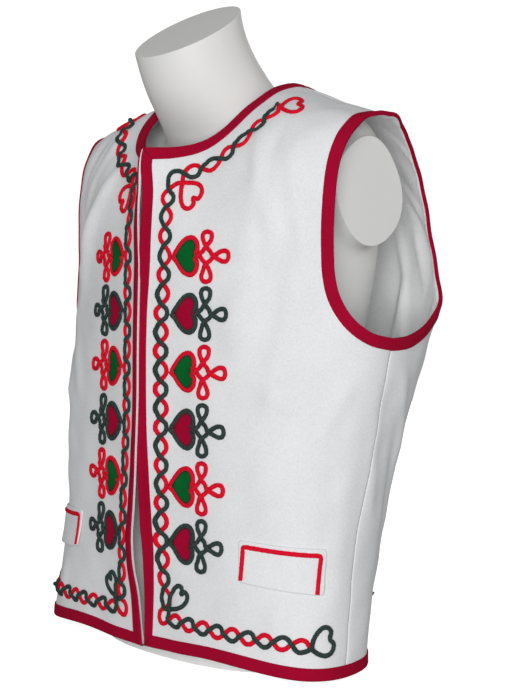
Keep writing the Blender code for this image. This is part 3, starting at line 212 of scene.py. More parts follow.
# %% Sizes
HEM_LIFT = 0.0215         # front hem corner above the floor the form stands on
BODY_Y = 0.0408           # moves the skin so that the whole part is centred on Y
CHEST = 0.440             # height above the hem where the shoulder profiles start
PROFILE_LENGTH = 0.270    # pattern length from there to the ridge of the shoulder
RIDGE = CHEST + PROFILE_LENGTH
CLOTH = 0.0022            # felted wool cloth
LINING = 0.0010
GAP = 0.0003              # between pieces that are sewn together
BIND_WIDTH = 0.0125       # bound edges, as they show
CORD_WIDTH = 0.0052       # couched cord
CORD_HIGH = 0.0024
PLAIT_SWING = 0.0062      # plait: middle line to a cord's middle
MOTIF_PITCH = 0.0644      # heart to heart down the front
TOP_HEART = 0.4430        # height of the top heart above the hem
HEARTS = 6
print("cloth", CLOTH, "m, braid", BIND_WIDTH, "m, cord", CORD_WIDTH, "m")

# %% Tables of the skin
def table(names, *rows):
    """Rows of numbers as named columns; the first column is what the others follow."""
    return dict(zip(names.split(), np.array(rows, float).T))


# Horizontal sections of the cloth, from the hem up to the chest.
SECTIONS = table(
    "height half_width side_y front_depth back_depth front_square back_square",
    (0.000, 0.228, -0.124, 0.084, 0.138, 2.70, 2.30),
    (0.110, 0.222, -0.110, 0.089, 0.161, 2.35, 2.40),
    (0.220, 0.230, -0.094, 0.105, 0.178, 2.15, 2.40),
    (0.335, 0.246, -0.066, 0.131, 0.183, 2.00, 2.30),
    (0.420, 0.2595, -0.038, 0.157, 0.170, 1.92, 2.25),
    (0.440, 0.260, -0.036, 0.158, 0.168, 1.92, 2.25),
)
# Profiles from the chest over the shoulder, by distance from the middle.
PROFILES = table(
    "from_middle ridge_height ridge_y front_square back_square",
    (0.000, 0.6700, -0.036, 1.90, 1.85),
    (0.080, 0.6430, -0.035, 1.90, 1.85),
    (0.140, 0.6215, -0.032, 2.60, 1.85),
    (0.210, 0.5997, -0.030, 3.60, 1.80),
)
# The two front edges: how far each is from the middle plane, and how far the
# stiff bound edge stands forward of the panel.
EDGES = table(
    "height from_middle stands_out fades_over",
    (0.000, 0.0030, 0.000, 0.022),
    (0.060, 0.0055, 0.006, 0.022),
    (0.120, 0.0105, 0.014, 0.022),
    (0.170, 0.0060, 0.015, 0.022),
    (0.250, 0.0030, 0.015, 0.022),
    (0.320, 0.0017, 0.014, 0.022),
    (0.440, 0.0017, 0.015, 0.024),
    (0.510, 0.0025, 0.026, 0.028),
    (0.563, 0.0025, 0.044, 0.030),
    (0.650, 0.0025, 0.000, 0.030),
)
NECK_CORNER = 0.563       # height of the corner where front edge meets neckline
# Front neckline after the corner: from the middle, height.
NECKLINE = ((0.0130, 0.5632), (0.0262, 0.5640), (0.0442, 0.5680), (0.0600, 0.5760),
            (0.0704, 0.5880), (0.0780, 0.6080), (0.0810, 0.6280), (0.0800, 0.6430))
# Back neck: from the middle, b on the pattern.
BACK_NECK = ((0.0800, 0.7100), (0.0745, 0.6760), (0.0610, 0.6440), (0.0420, 0.6230),
             (0.0210, 0.6108), (0.0000, 0.6035))
# Armhole, from the side seam up the front to the shoulder tip: turn, height.
ARMHOLE_FRONT = ((90.0, 0.3515), (84.1, 0.3560), (80.2, 0.3625), (76.2, 0.3735),
                 (72.5, 0.3890), (69.8, 0.4060), (68.2, 0.4280), (67.8, 0.4600),
                 (68.0, 0.5000), (68.4, 0.5400), (69.2, 0.5660), (70.0, 0.5840),
                 (70.0, 0.5997))
# and up the back, without the shoulder tip, which is worked out from the front's.
ARMHOLE_BACK = ((90.0, 0.3515), (97.0, 0.3530), (103.0, 0.3605), (108.5, 0.3720),
                (113.5, 0.3870), (118.0, 0.4060), (121.4, 0.4280), (123.6, 0.4550),
                (124.6, 0.4850), (124.4, 0.5150), (123.0, 0.5440), (120.6, 0.5700),
                (118.2, 0.5880))
# Hem line: turn, height.
HEM = ((0.0, -0.002), (30.0, -0.001), (60.0, 0.000), (80.0, -0.009), (95.0, -0.013),
       (130.0, -0.012), (180.0, -0.010))
SIDE_SEAM = ((-0.02, 92.0), (0.110, 94.0), (0.230, 94.0), (0.3515, 90.0))
BACK_MOTIF = (0.385, 0.055)   # point of the heart on the back, (a, b)
# Soft folds of the cloth: one end (a, b), the other end (a, b), half width, height.
FOLDS_LEFT = (
    (0.150, 0.560, 0.120, 0.300, 0.022, 0.0022),
    (0.178, 0.520, 0.168, 0.330, 0.016, -0.0018),
    (0.200, 0.330, 0.170, 0.120, 0.030, 0.0018),
    (0.420, 0.560, 0.440, 0.200, 0.026, 0.0025),
    (0.520, 0.480, 0.500, 0.080, 0.030, -0.0022),
)
FOLDS_RIGHT = (
    (0.090, 0.540, 0.190, 0.400, 0.016, 0.0030),
    (0.120, 0.580, 0.200, 0.450, 0.013, -0.0022),
    (0.205, 0.340, 0.190, 0.130, 0.028, 0.0020),
    (0.410, 0.520, 0.450, 0.240, 0.028, -0.0022),
    (0.530, 0.500, 0.520, 0.060, 0.034, 0.0022),
)
# Finer folds that the cloth takes between the large ones, as FOLDS above.
CREASES_LEFT = (
    (0.115, 0.600, 0.170, 0.450, 0.011, 0.0016),
    (0.150, 0.610, 0.150, 0.400, 0.009, -0.0011),
    (0.172, 0.575, 0.205, 0.420, 0.010, 0.0014),
    (0.190, 0.470, 0.160, 0.250, 0.012, 0.0010),
    (0.225, 0.330, 0.150, 0.280, 0.009, 0.0010),
    (0.260, 0.320, 0.215, 0.230, 0.011, 0.0014),
    (0.240, 0.240, 0.230, 0.060, 0.014, -0.0012),
    (0.290, 0.310, 0.300, 0.130, 0.012, 0.0012),
    (0.185, 0.075, 0.190, 0.010, 0.012, 0.0010),
    (0.330, 0.330, 0.370, 0.200, 0.013, 0.0016),
    (0.345, 0.290, 0.350, 0.080, 0.012, -0.0013),
    (0.395, 0.620, 0.440, 0.480, 0.012, 0.0016),
    (0.450, 0.640, 0.480, 0.420, 0.014, -0.0014),
    (0.540, 0.560, 0.470, 0.400, 0.012, 0.0014),
    (0.470, 0.350, 0.490, 0.060, 0.013, 0.0013),
    (0.560, 0.330, 0.545, 0.090, 0.015, -0.0013),
)
CREASES_RIGHT = (
    (0.075, 0.560, 0.165, 0.430, 0.008, 0.0014),
    (0.105, 0.600, 0.185, 0.480, 0.008, 0.0018),
    (0.150, 0.600, 0.200, 0.500, 0.009, -0.0013),
    (0.120, 0.500, 0.190, 0.360, 0.011, 0.0013),
    (0.200, 0.400, 0.150, 0.250, 0.012, 0.0011),
    (0.250, 0.330, 0.190, 0.260, 0.010, 0.0013),
    (0.235, 0.260, 0.240, 0.060, 0.013, -0.0013),
    (0.290, 0.300, 0.285, 0.110, 0.012, 0.0013),
    (0.175, 0.075, 0.180, 0.010, 0.012, 0.0010),
    (0.335, 0.320, 0.380, 0.210, 0.012, 0.0014),
    (0.350, 0.280, 0.345, 0.070, 0.013, -0.0012),
    (0.400, 0.630, 0.430, 0.470, 0.013, 0.0015),
    (0.460, 0.620, 0.490, 0.430, 0.012, -0.0015),
    (0.535, 0.540, 0.480, 0.390, 0.013, 0.0013),
    (0.480, 0.340, 0.480, 0.050, 0.014, 0.0014),
    (0.565, 0.320, 0.555, 0.080, 0.014, -0.0012),
)
FOLDED = 1.6              # share of their heights that the large folds take
CREASED = 2.2             # and the finer ones
FRONT_CALM = 0.030        # no folds in the middle, full folds from here on
# Unevenness of the felted cloth: wave length, direction in degrees, height, start.
RUMPLES = (
    (0.062, 12.0, 0.00028, 0.3), (0.047, 74.0, 0.00022, 1.7), (0.091, 41.0, 0.00035, 2.9),
    (0.038, 137.0, 0.00016, 4.1), (0.055, 101.0, 0.00020, 5.2),
)


# %% The skin's formulas
def smooth(xs, ys, x):
    """Curve through the rows of a table, without overshoot between them."""
    xs = np.asarray(xs, float)
    ys = np.asarray(ys, float)
    x = np.clip(x, xs[0], xs[-1])
    step = np.diff(xs)
    slope = np.diff(ys) / step
    tangent = np.empty(len(xs))
    tangent[0] = slope[0]
    tangent[-1] = slope[-1]
    tangent[1:-1] = (slope[:-1] * step[1:] + slope[1:] * step[:-1]) / (step[:-1] + step[1:])
    i = np.clip(np.searchsorted(xs, x, side="right") - 1, 0, len(xs) - 2)
    t = (x - xs[i]) / step[i]
    rise = (3 - 2 * t) * t * t
    return (
        ys[i] + (ys[i + 1] - ys[i]) * rise
        + step[i] * (tangent[i] * t * (1 - t) ** 2 - tangent[i + 1] * t * t * (1 - t))
    )


def column(rows, name, x):
    """A named column of a table, at values x of its first column."""
    return smooth(next(iter(rows.values())), rows[name], x)


def curve(rows, x):
    """Second value of (first, second) rows, at values x of the first."""
    return smooth(*np.array(rows).T, x)


def ease(share):
    """A share from 0 to 1 that starts and ends gently."""
    return share * share * (3 - 2 * share)


def run_along(line):
    """How far along a line each of its points is."""
    return np.concatenate([[0], np.cumsum(np.linalg.norm(np.diff(line, axis=0), axis=1))])


def ring(turn, height):
    """Plan point of the section at this height: x, y, for a turn from centre front."""
    half_width, side_y, front, back, front_square, back_square = [
        column(SECTIONS, name, height) for name in list(SECTIONS)[1:]
    ]
    s, c = np.sin(turn), np.cos(turn)
    depth = np.where(c >= 0, front, back)
    square = np.where(c >= 0, front_square, back_square)
    reach = ((np.abs(s) / half_width) ** square + (np.abs(c) / depth) ** square) ** (-1 / square)
    return reach * s, side_y - reach * c


TURNS = np.radians(np.linspace(0.0, 180.0, 121))


def girth(height):
    """Length along the section from centre front, at each of TURNS."""
    x, y = ring(TURNS[None, :], np.atleast_1d(height)[:, None])
    bit = np.hypot(np.diff(x, axis=1), np.diff(y, axis=1))
    return np.concatenate([np.zeros((len(bit), 1)), np.cumsum(bit, axis=1)], axis=1)


def along(turn, height):
    """Pattern coordinate a (metres round from centre front) of a turn."""
    turn, height = np.broadcast_arrays(np.atleast_1d(turn).astype(float), height)
    reach = girth(np.minimum(height, CHEST))
    return np.array([np.interp(t, TURNS, row) for t, row in zip(turn, reach)])


def turn_of(a, height):
    """Turn of a pattern coordinate a, the other way round."""
    reach = girth(np.minimum(height, CHEST))
    return np.array([np.interp(q, row, TURNS) for q, row in zip(a, reach)])


def squareness(x, is_front):
    """How square the profile over the shoulder is at this distance from the middle."""
    return np.where(is_front, *(column(PROFILES, name, x) for name in ("front_square", "back_square")))


def level_b(turn, height):
    """Pattern coordinate b of a height: the height itself up to the chest, then
    on over the shoulder to CHEST + PROFILE_LENGTH at the ridge."""
    turn, height = np.broadcast_arrays(np.atleast_1d(turn).astype(float), height)
    x, _ = ring(turn, np.full(len(turn), CHEST))
    top = column(PROFILES, "ridge_height", np.abs(x))
    square = squareness(np.abs(x), np.cos(turn) >= 0)
    up = np.clip((height - CHEST) / (top - CHEST), 0, 1)
    over = np.maximum(1 - up ** square, 0) ** (1 / square)
    return np.where(height <= CHEST, height, CHEST + PROFILE_LENGTH * np.arctan2(up, over) / (pi / 2))


def skin(a, b):
    """Outer face of the wearer's left half, as drawn by the tables."""
    a, b = np.broadcast_arrays(np.atleast_1d(a).astype(float), np.atleast_1d(b).astype(float))
    turn = turn_of(a, np.minimum(b, CHEST))
    x, y = ring(turn, np.minimum(b, CHEST))
    is_front = np.cos(turn) >= 0
    top = column(PROFILES, "ridge_height", np.abs(x))
    ridge_y = column(PROFILES, "ridge_y", np.abs(x))
    square = squareness(np.abs(x), is_front)
    up = np.clip((b - CHEST) / PROFILE_LENGTH, 0, 1) * pi / 2
    reach = (np.cos(up) ** square + np.sin(up) ** square) ** (-1 / square)
    z = np.where(b > CHEST, CHEST + (top - CHEST) * reach * np.sin(up), b)
    y = np.where(b > CHEST, ridge_y + (y - ridge_y) * reach * np.cos(up), y)
    stands = column(EDGES, "stands_out", z) * np.exp(-np.abs(x) / column(EDGES, "fades_over", z))
    y = y - np.where(is_front, stands, 0)
    return np.stack([x, y, z], axis=-1)


def slopes(a, b):
    """How the skin runs with a and with b."""
    e = 0.0008
    low = np.minimum(b, RIDGE - e) - e
    by_a = (skin(a + e, b) - skin(a - e, b)) / (2 * e)
    by_b = (skin(a, low + 2 * e) - skin(a, low)) / (2 * e)
    return by_a, by_b


def outward(a, b):
    """Unit normal of the skin, on the outside."""
    n = np.cross(*slopes(a, b))
    n /= np.linalg.norm(n, axis=-1, keepdims=True)
    # at the front edge the wall goes straight back, so that the two edges can meet
    near = np.clip(skin(a, b)[:, 0] / FRONT_CALM, 0, 1)
    n[:, 0] *= np.where(n[:, 1] < 0, ease(near), 1.0)
    return n / np.linalg.norm(n, axis=-1, keepdims=True)


def fold(a, b, folds):
    """How far folds lift pattern points off the skin."""
    rise = np.zeros(len(a))
    for a0, b0, a1, b1, half_width, high in folds:
        run = np.array([a1 - a0, b1 - b0])
        length = np.hypot(*run)
        run = run / length
        along_it = (a - a0) * run[0] + (b - b0) * run[1]
        across = (a - a0) * run[1] - (b - b0) * run[0]
        ends = np.clip(along_it / length * 4, 0, 1) * np.clip((1 - along_it / length) * 4, 0, 1)
        rise += high * ease(ends) * np.exp(-((across / half_width) ** 2))
    return rise


# How the opening really hangs, beyond the smooth skin: height above the hem, then at
# the edge how far towards the wearer's left and how far forward.
HANG_LEFT = table(
    "height aside forward",
    (0.000, 0.0020, 0.0), (0.057, -0.0003, 0.0), (0.091, -0.0057, 0.0), (0.126, -0.0112, 0.0),
    (0.160, -0.0084, 0.0), (0.200, -0.0057, 0.0), (0.230, -0.0068, 0.0), (0.274, -0.0078, 0.0),
    (0.320, -0.0085, 0.0), (0.388, -0.0075, 0.0), (0.457, -0.0002, 0.0), (0.510, 0.0038, 0.0),
    (0.563, 0.0038, 0.0),
)
HANG_RIGHT = table(
    "height aside forward",
    (0.000, 0.0049, 0.003), (0.034, 0.0064, 0.007), (0.057, 0.0070, 0.010), (0.091, 0.0038, 0.012),
    (0.126, 0.0038, 0.012), (0.160, 0.0048, 0.011), (0.194, 0.0040, 0.008), (0.228, 0.0032, 0.006),
    (0.274, 0.0030, 0.005), (0.330, 0.0006, 0.004), (0.388, 0.0000, 0.004), (0.457, 0.0012, 0.003),
    (0.500, 0.0008, 0.002), (0.548, 0.0050, 0.001), (0.600, 0.0050, 0.001),
)
HANG_FADES_LEFT = 0.022   # how far from the edge that reaches
HANG_FADES_RIGHT = 0.060
FRONT_ONLY = 0.20         # pattern a up to which the cloth belongs to the opening

# %% A point of the worn cloth
def edge_x(height):
    """How far a front edge is from the middle plane."""
    return column(EDGES, "from_middle", height)


SHIFT = np.array([0.0, BODY_Y, HEM_LIFT])
MIRROR = np.array([-1.0, 1.0, 1.0])


def rise_of_cloth(a, b, x, right):
    """How far folds and rumples lift the cloth off the skin."""
    large, small = (FOLDS_RIGHT, CREASES_RIGHT) if right else (FOLDS_LEFT, CREASES_LEFT)
    rise = FOLDED * fold(a, b, large) + CREASED * fold(a, b, small)
    for length, way, high, start in RUMPLES:
        run = a * cos(radians(way)) + b * sin(radians(way))
        rise = rise + high * np.sin(2 * pi * run / length + start + 2.1 * right)
    # the fronts are stiff along their edge, and both halves meet at the back
    return rise * ease(np.clip(np.abs(x) / FRONT_CALM, 0, 1))


def hang(x, z, near_front, right):
    """How the cloth beside the opening moves, in the left half's own directions."""
    rows, fades = (HANG_RIGHT, HANG_FADES_RIGHT) if right else (HANG_LEFT, HANG_FADES_LEFT)
    off_edge = np.maximum(x - edge_x(z), 0)
    share = np.exp(-(off_edge / fades) ** 2) * near_front
    aside = column(rows, "aside", z) * share * (-1 if right else 1)
    return np.stack([aside, -column(rows, "forward", z) * share, 0 * share], axis=1)


def cloth_at(a, b, right=False):
    """Point and normal of the cloth's outer face at pattern points."""
    a, b = np.atleast_1d(a).astype(float), np.atleast_1d(b).astype(float)
    point, normal = skin(a, b), outward(a, b)
    x, z, near_front = point[:, 0], point[:, 2], a < FRONT_ONLY
    point = point + normal * rise_of_cloth(a, b, x, right)[:, None] + hang(x, z, near_front, right)
    # the normal leans with the cloth
    e = 0.001
    for axis, dx, dz in ((0, e, 0.0), (2, 0.0, e)):
        slope = hang(x + dx, z + dz, near_front, right) - hang(x - dx, z - dz, near_front, right)
        normal[:, axis] -= (slope * normal).sum(axis=1) / (2 * e)
    normal /= np.linalg.norm(normal, axis=1)[:, None]
    if right:
        point, normal = point * MIRROR, normal * MIRROR
    return point + SHIFT, normal


half_girth = float(girth(CHEST)[0, -1])
where, _ = cloth_at([0.10], [0.30])
print("half girth at the chest", round(half_girth, 3), "m; a point of the front", where[0].round(3))

# %% [markdown]
# ## The flat pattern
# A tailor cuts fronts and back from flat cloth. Here the cut edges are lines on the
# pattern: front edge, neckline, armholes, hem, side and shoulder seams. The area
# between them is filled with small even triangles, which bend well in any direction.
# A grid would be quicker but would show steps along the curved edges.

# %% Cut edges
CELL = 0.0056             # size of the small triangles


def at_steps(line, run, count):
    """That many equal steps along a line, given how far along its points are."""
    at = np.linspace(0, run[-1], count + 1)
    return np.stack([np.interp(at, run, line[:, 0]), np.interp(at, run, line[:, 1])], axis=1)


def spread(line):
    """Points at equal spacing, about one cell, along a fine line on the pattern."""
    run = run_along(skin(line[:, 0], line[:, 1]))
    return at_steps(line, run, max(1, int(round(run[-1] / CELL))))


def through(rows, k=None):
    """A smooth curve through rows of (first, second), at row numbers k."""
    rows = np.array(rows)
    k = np.linspace(0, len(rows) - 1, 240) if k is None else k
    index = np.arange(len(rows))
    return smooth(index, rows[:, 0], k), smooth(index, rows[:, 1], k)


def on_pattern(turn, height):
    """Pattern points (a, b) of a turn and a height."""
    return np.stack([along(turn, height), level_b(turn, height)], axis=1)


def turn_at(x, back):
    """Turn of the column that stands this far from the middle plane."""
    turns = np.linspace(pi, pi / 2, 400) if back else np.linspace(0, pi / 2, 400)
    reach, _ = ring(turns, np.full(400, CHEST))
    return np.interp(x, reach, turns)


def hem_height(turn):
    """Height of the hem at a turn."""
    return curve(HEM, np.degrees(turn))


seam_z = np.linspace(float(hem_height(radians(SIDE_SEAM[0][1]))), SIDE_SEAM[-1][0], 200)
seam_turn = np.radians(curve(SIDE_SEAM, seam_z))
side_seam = spread(on_pattern(seam_turn, seam_z))

z = np.linspace(NECK_CORNER, HEM[0][1], 300)
edge_turn = turn_at(edge_x(z), False)
front_edge = spread(np.stack([
    np.where(z > CHEST, along(edge_turn, z), edge_x(z)), level_b(edge_turn, z)
], axis=1))

x, z = through(((float(edge_x(NECK_CORNER)), NECK_CORNER),) + NECKLINE)
neck_front = on_pattern(turn_at(x, False), z)
neck_front[-1, 1] = RIDGE
neck_front = spread(neck_front)[::-1]

x, z = through(BACK_NECK)
neck_back = np.stack([along(turn_at(x, True), CHEST), z], axis=1)
neck_back[0, 1] = RIDGE
neck_back = spread(neck_back)[::-1]

turn, z = through(ARMHOLE_FRONT)
arm_front = on_pattern(np.radians(turn), z)
arm_front[-1, 1] = RIDGE
arm_front = spread(arm_front)
tip_x = float(skin(arm_front[-1:, 0], [RIDGE])[0, 0])
tip_turn = float(np.degrees(turn_at(tip_x, True)))
turn, z = through(ARMHOLE_BACK + ((tip_turn, ARMHOLE_FRONT[-1][1]),))
print("the back's shoulder tip is at a turn of", round(tip_turn, 2))
arm_back = on_pattern(np.radians(turn), z)
arm_back[-1, 1] = RIDGE
arm_back[-1, 0] = float(along(turn_at(tip_x, True), CHEST)[0])
arm_back = spread(arm_back)

turn = np.linspace(float(edge_turn[-1]), float(seam_turn[0]), 200)
hem_front = spread(on_pattern(turn, hem_height(turn)))
turn = np.linspace(float(seam_turn[0]), pi, 200)
hem_back = spread(on_pattern(turn, hem_height(turn)))
hem_front[0] = front_edge[-1]
hem_front[-1] = hem_back[0] = side_seam[0]
arm_front[0] = arm_back[0] = side_seam[-1]

# shoulder seam: the same distances from the middle, front and back
hps_x = float(skin(neck_front[:1, 0], [RIDGE])[0, 0])
shoulder_x = np.linspace(hps_x, tip_x, int(round((tip_x - hps_x) / CELL)) + 1)


def shoulder(back):
    """The shoulder seam on the pattern, at the front or at the back."""
    rows = len(shoulder_x)
    return np.stack([along(turn_at(shoulder_x, back), CHEST), np.full(rows, RIDGE)], axis=1)


shoulder_front, shoulder_back = shoulder(False), shoulder(True)
shoulder_front[0], shoulder_front[-1] = neck_front[0], arm_front[-1]
shoulder_back[0], shoulder_back[-1] = neck_back[-1], arm_back[-1]
centre_z = np.linspace(float(hem_height(pi)), CHEST, 200)
centre_low = on_pattern(np.full(200, pi), centre_z)
centre_high = np.linspace(centre_low[-1], (centre_low[-1, 0], neck_back[0, 1]), 100)
centre_back = spread(np.concatenate([centre_low, centre_high[1:]]))
centre_back[0], centre_back[-1] = hem_back[-1], neck_back[0]
print("side seam", len(side_seam), "points, front edge", len(front_edge), "points")

# %% Points and triangles of one half
def square_to(spots, run):
    """Pattern directions, one metre long on the skin, square to a run, on its left."""
    by_a, by_b = slopes(spots[:, 0], spots[:, 1])
    t = by_a * run[:, :1] + by_b * run[:, 1:]
    step = np.stack([-(by_b * t).sum(1), (by_a * t).sum(1)], axis=1)
    d = by_a * step[:, :1] + by_b * step[:, 1:]
    return step / np.linalg.norm(d, axis=1)[:, None]


def inward(line, left):
    """The same for a line of the pattern, on its left or right side."""
    step = square_to(line, np.gradient(line, axis=0))
    return step if left else -step


def inside(border, spots):
    """Which spots lie inside a closed line."""
    x, y = spots[:, 0], spots[:, 1]
    odd = np.zeros(len(spots), bool)
    for (x0, y0), (x1, y1) in zip(border, np.roll(border, -1, axis=0)):
        if y0 != y1:
            odd ^= ((y0 > y) != (y1 > y)) & (x < (x1 - x0) * (y - y0) / (y1 - y0) + x0)
    return odd


def gap_to(spots, line):
    """Distance from each spot to the nearest piece of a line."""
    best = np.full(len(spots), 1e9)
    for p, q in zip(line[:-1], line[1:]):
        run = q - p
        if run @ run == 0:
            continue
        t = np.clip((spots - p) @ run / (run @ run), 0, 1)
        best = np.minimum(best, np.hypot(*(spots - p - t[:, None] * run).T))
    return best


SEAM_GROOVE = 0.0024      # half width of the groove along the side seam
SIDE_DEPTH = 0.0009
SHOULDER_GROOVE = 0.0030
SHOULDER_DEPTH = 0.0007
beside = inward(side_seam, True) * SEAM_GROOVE
beside[0] = beside[-1] = 0.0
inner_lines = [side_seam, (side_seam + beside)[1:-1], (side_seam - beside)[1:-1]]
outline = [
    hem_front, hem_back, centre_back, neck_back, shoulder_back, arm_back[::-1], arm_front,
    shoulder_front[::-1], neck_front, front_edge,
]
points, pairs, index_of = [], [], {}


def add_line(line):
    """Puts a line's points on the list, once each, and joins them."""
    ids = []
    for p in line:
        key = (round(float(p[0]), 6), round(float(p[1]), 6))
        if key not in index_of:
            index_of[key] = len(points)
            points.append(key)
        ids.append(index_of[key])
    pairs.extend((i, j) for i, j in zip(ids, ids[1:]) if i != j)
    return ids


loop = []
for line in outline:
    loop += add_line(line)[:-1]
for line in inner_lines:
    add_line(line)
border = np.array(points)[loop]
rows = np.arange(border[:, 1].min() + CELL / 2, border[:, 1].max(), CELL * 0.87)
across = np.arange(0, border[:, 0].max(), CELL)
spots = np.concatenate([
    np.stack([across + 0.5 * CELL * (k % 2), np.full(len(across), height)], axis=1)
    for k, height in enumerate(rows)
])
spots = spots[inside(border, spots)]
gap = gap_to(spots, np.concatenate([border, border[:1]]))
for line in inner_lines:
    gap = np.minimum(gap, gap_to(spots, line))
spots = spots[gap > 0.55 * CELL]
flat = np.concatenate([np.array(points), spots])
result = delaunay_2d_cdt([Vector(p) for p in flat], pairs, [loop], 1, 1e-7)
PATTERN = np.array([tuple(v) for v in result[0]])
place = {old: new for new, olds in enumerate(result[3]) for old in olds}
TRIANGLES = np.array(result[2])
corner = PATTERN[TRIANGLES]
area = np.cross(corner[:, 1] - corner[:, 0], corner[:, 2] - corner[:, 0])
TRIANGLES, area = TRIANGLES[np.abs(area) > 1e-9], area[np.abs(area) > 1e-9]
TRIANGLES[area < 0] = TRIANGLES[area < 0][:, ::-1]
CENTRES = PATTERN[TRIANGLES].mean(axis=1)
IS_FRONT = CENTRES[:, 0] < np.interp(CENTRES[:, 1], side_seam[:, 1], side_seam[:, 0])


def ids_of(line):
    """Numbers of a line's points in the triangulated pattern."""
    return [place[index_of[(round(float(p[0]), 6), round(float(p[1]), 6))]] for p in line]


print("half pattern:", len(PATTERN), "points,", len(TRIANGLES), "triangles")

# %% [markdown]
# ## The net of the whole garment
# The half pattern is laid on the skin twice, once for each side of the wearer, each
# side with its own folds. The two halves share their points at the centre back, and
# the fronts share theirs with the back at the shoulders, so neighbours always fit.

# %% Net of points
point_left, normal_left = cloth_at(PATTERN[:, 0], PATTERN[:, 1])
point_right, normal_right = cloth_at(PATTERN[:, 0], PATTERN[:, 1], True)
groove = SIDE_DEPTH * np.exp(-(gap_to(PATTERN, side_seam) / SEAM_GROOVE) ** 2)
groove += SHOULDER_DEPTH * np.exp(-((RIDGE - PATTERN[:, 1]) / SHOULDER_GROOVE) ** 2)
point_left -= normal_left * groove[:, None]
point_right -= normal_right * groove[:, None]
HALF = len(PATTERN)
POINT = np.concatenate([point_left, point_right])
NORMAL = np.concatenate([normal_left, normal_right])
JOIN = np.arange(2 * HALF)
for f, k in zip(ids_of(shoulder_front), ids_of(shoulder_back)):
    for shift in (0, HALF):
        POINT[f + shift] = (POINT[f + shift] + POINT[k + shift]) / 2
        NORMAL[f + shift] = NORMAL[f + shift] + NORMAL[k + shift]
        JOIN[k + shift] = f + shift
for k in ids_of(centre_back):
    POINT[k, 0] = NORMAL[k, 0] = 0.0
    JOIN[k + HALF] = JOIN[k]
NORMAL /= np.linalg.norm(NORMAL, axis=1)[:, None]


def tris_of(chosen, right=False):
    """Triangles of chosen rows, on one side of the wearer."""
    tris = TRIANGLES[chosen]
    if right:
        tris = tris[:, ::-1] + HALF
    return JOIN[tris]


def finished(name, mesh, surface):
    """A new smooth object of one material that rides on the part's body."""
    mesh.materials.append(surface)
    for face in mesh.polygons:
        face.use_smooth = True
    piece = link(bpy.data.objects.new(name, mesh))
    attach(piece, BODY)
    return piece


def mesh_piece(name, points, polygons, surface):
    """A new object from points and polygons."""
    mesh = bpy.data.meshes.new(name)
    mesh.from_pydata([tuple(map(float, p)) for p in points], [], [tuple(map(int, f)) for f in polygons])
    mesh.update()
    return finished(name, mesh, surface)


def slot_of(surface):
    """The record's slot for a material, whose name Blender may have numbered."""
    return surface.name.split(".")[0]


def stands_for(piece, node, slot):
    """The piece takes a solid's place; the slot is not used."""
    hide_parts(node)
    return piece


def face_out(piece, way=None):
    """Turns all faces outward or, for an open piece, to the side of a direction."""
    bm = bmesh.new()
    bm.from_mesh(piece.data)
    bmesh.ops.recalc_face_normals(bm, faces=bm.faces)
    if way is not None and sum(f.normal.dot(way) for f in bm.faces) < 0:
        bmesh.ops.reverse_faces(bm, faces=bm.faces)
    bm.to_mesh(piece.data)
    bm.free()


def make_thick(piece, thick):
    """Gives an open piece a wall, inward from its outer face."""
    wall = piece.modifiers.new("thickness", "SOLIDIFY")
    wall.thickness = thick
    wall.offset = -1.0


def shell(name, tris, lift, thick, surface, shift=None):
    """A cloth piece: some triangles of the net, lifted, and made thick inward."""
    used, flat_tris = np.unique(tris, return_inverse=True)
    flat_tris = flat_tris.reshape(tris.shape)
    points = POINT[used] + NORMAL[used] * lift
    if shift is not None:
        points = points + shift[used]
    piece = mesh_piece("vest_" + name, points, flat_tris, surface)
    make_thick(piece, thick)
    return stands_for(piece, name, slot_of(surface))


print("net of", len(POINT), "points")

# %% [markdown]
# ## Felted white wool
# Felt shows no weave. Up close it has short tangled fibres and slight clouds where the dye and
# the nap vary. Three noise scales make that: clouds of a few centimetres in the colour, tufts of
# millimetres and fine fibre in the bump. The tufts also darken the colour a little in their
# hollows, which is painted shade. The white cloths also have a little sheen. The dyed ones
# have none, because it would wash out their colour.


# %% Cloth materials
def felt(name, light, shade, roughness, sheen, fibre=1.0, shine=0.25):
    """Felted or brushed cloth between two tones."""
    found, nodes, links, shader = shader_material(name, light, roughness)
    place = nodes.new("ShaderNodeTexCoord")
    clouds = noise(nodes, links, place, 22.0, 5.0)
    tufts = noise(nodes, links, place, 420.0, 6.0, 0.7)
    tint = ramp(nodes, links, clouds.outputs["Fac"], ((0.30, shade), (0.70, light)))
    # painted shade: the same tufts that make the bump darken the colour in their hollows
    tuft_hollow_shade = ramp(nodes, links, tufts.outputs["Fac"], ((0.32, (0.90,) * 3), (0.62, (1.0,) * 3)))
    colour = blend(nodes, links, "MULTIPLY", 1.0, tint.outputs["Color"], tuft_hollow_shade.outputs["Color"])
    links.new(colour, shader.inputs["Base Color"])
    fine = noise(nodes, links, place, 1500.0, 5.0, 0.75)
    below = bump(nodes, links, tufts.outputs["Fac"], 0.00035, 0.35 * fibre)
    nap = bump(nodes, links, fine.outputs["Fac"], 0.00016, 0.45 * fibre, below)
    links.new(nap, shader.inputs["Normal"])
    shader.inputs["Sheen Weight"].default_value = sheen
    shader.inputs["Sheen Roughness"].default_value = 0.55
    shader.inputs["Specular IOR Level"].default_value = shine
    return found


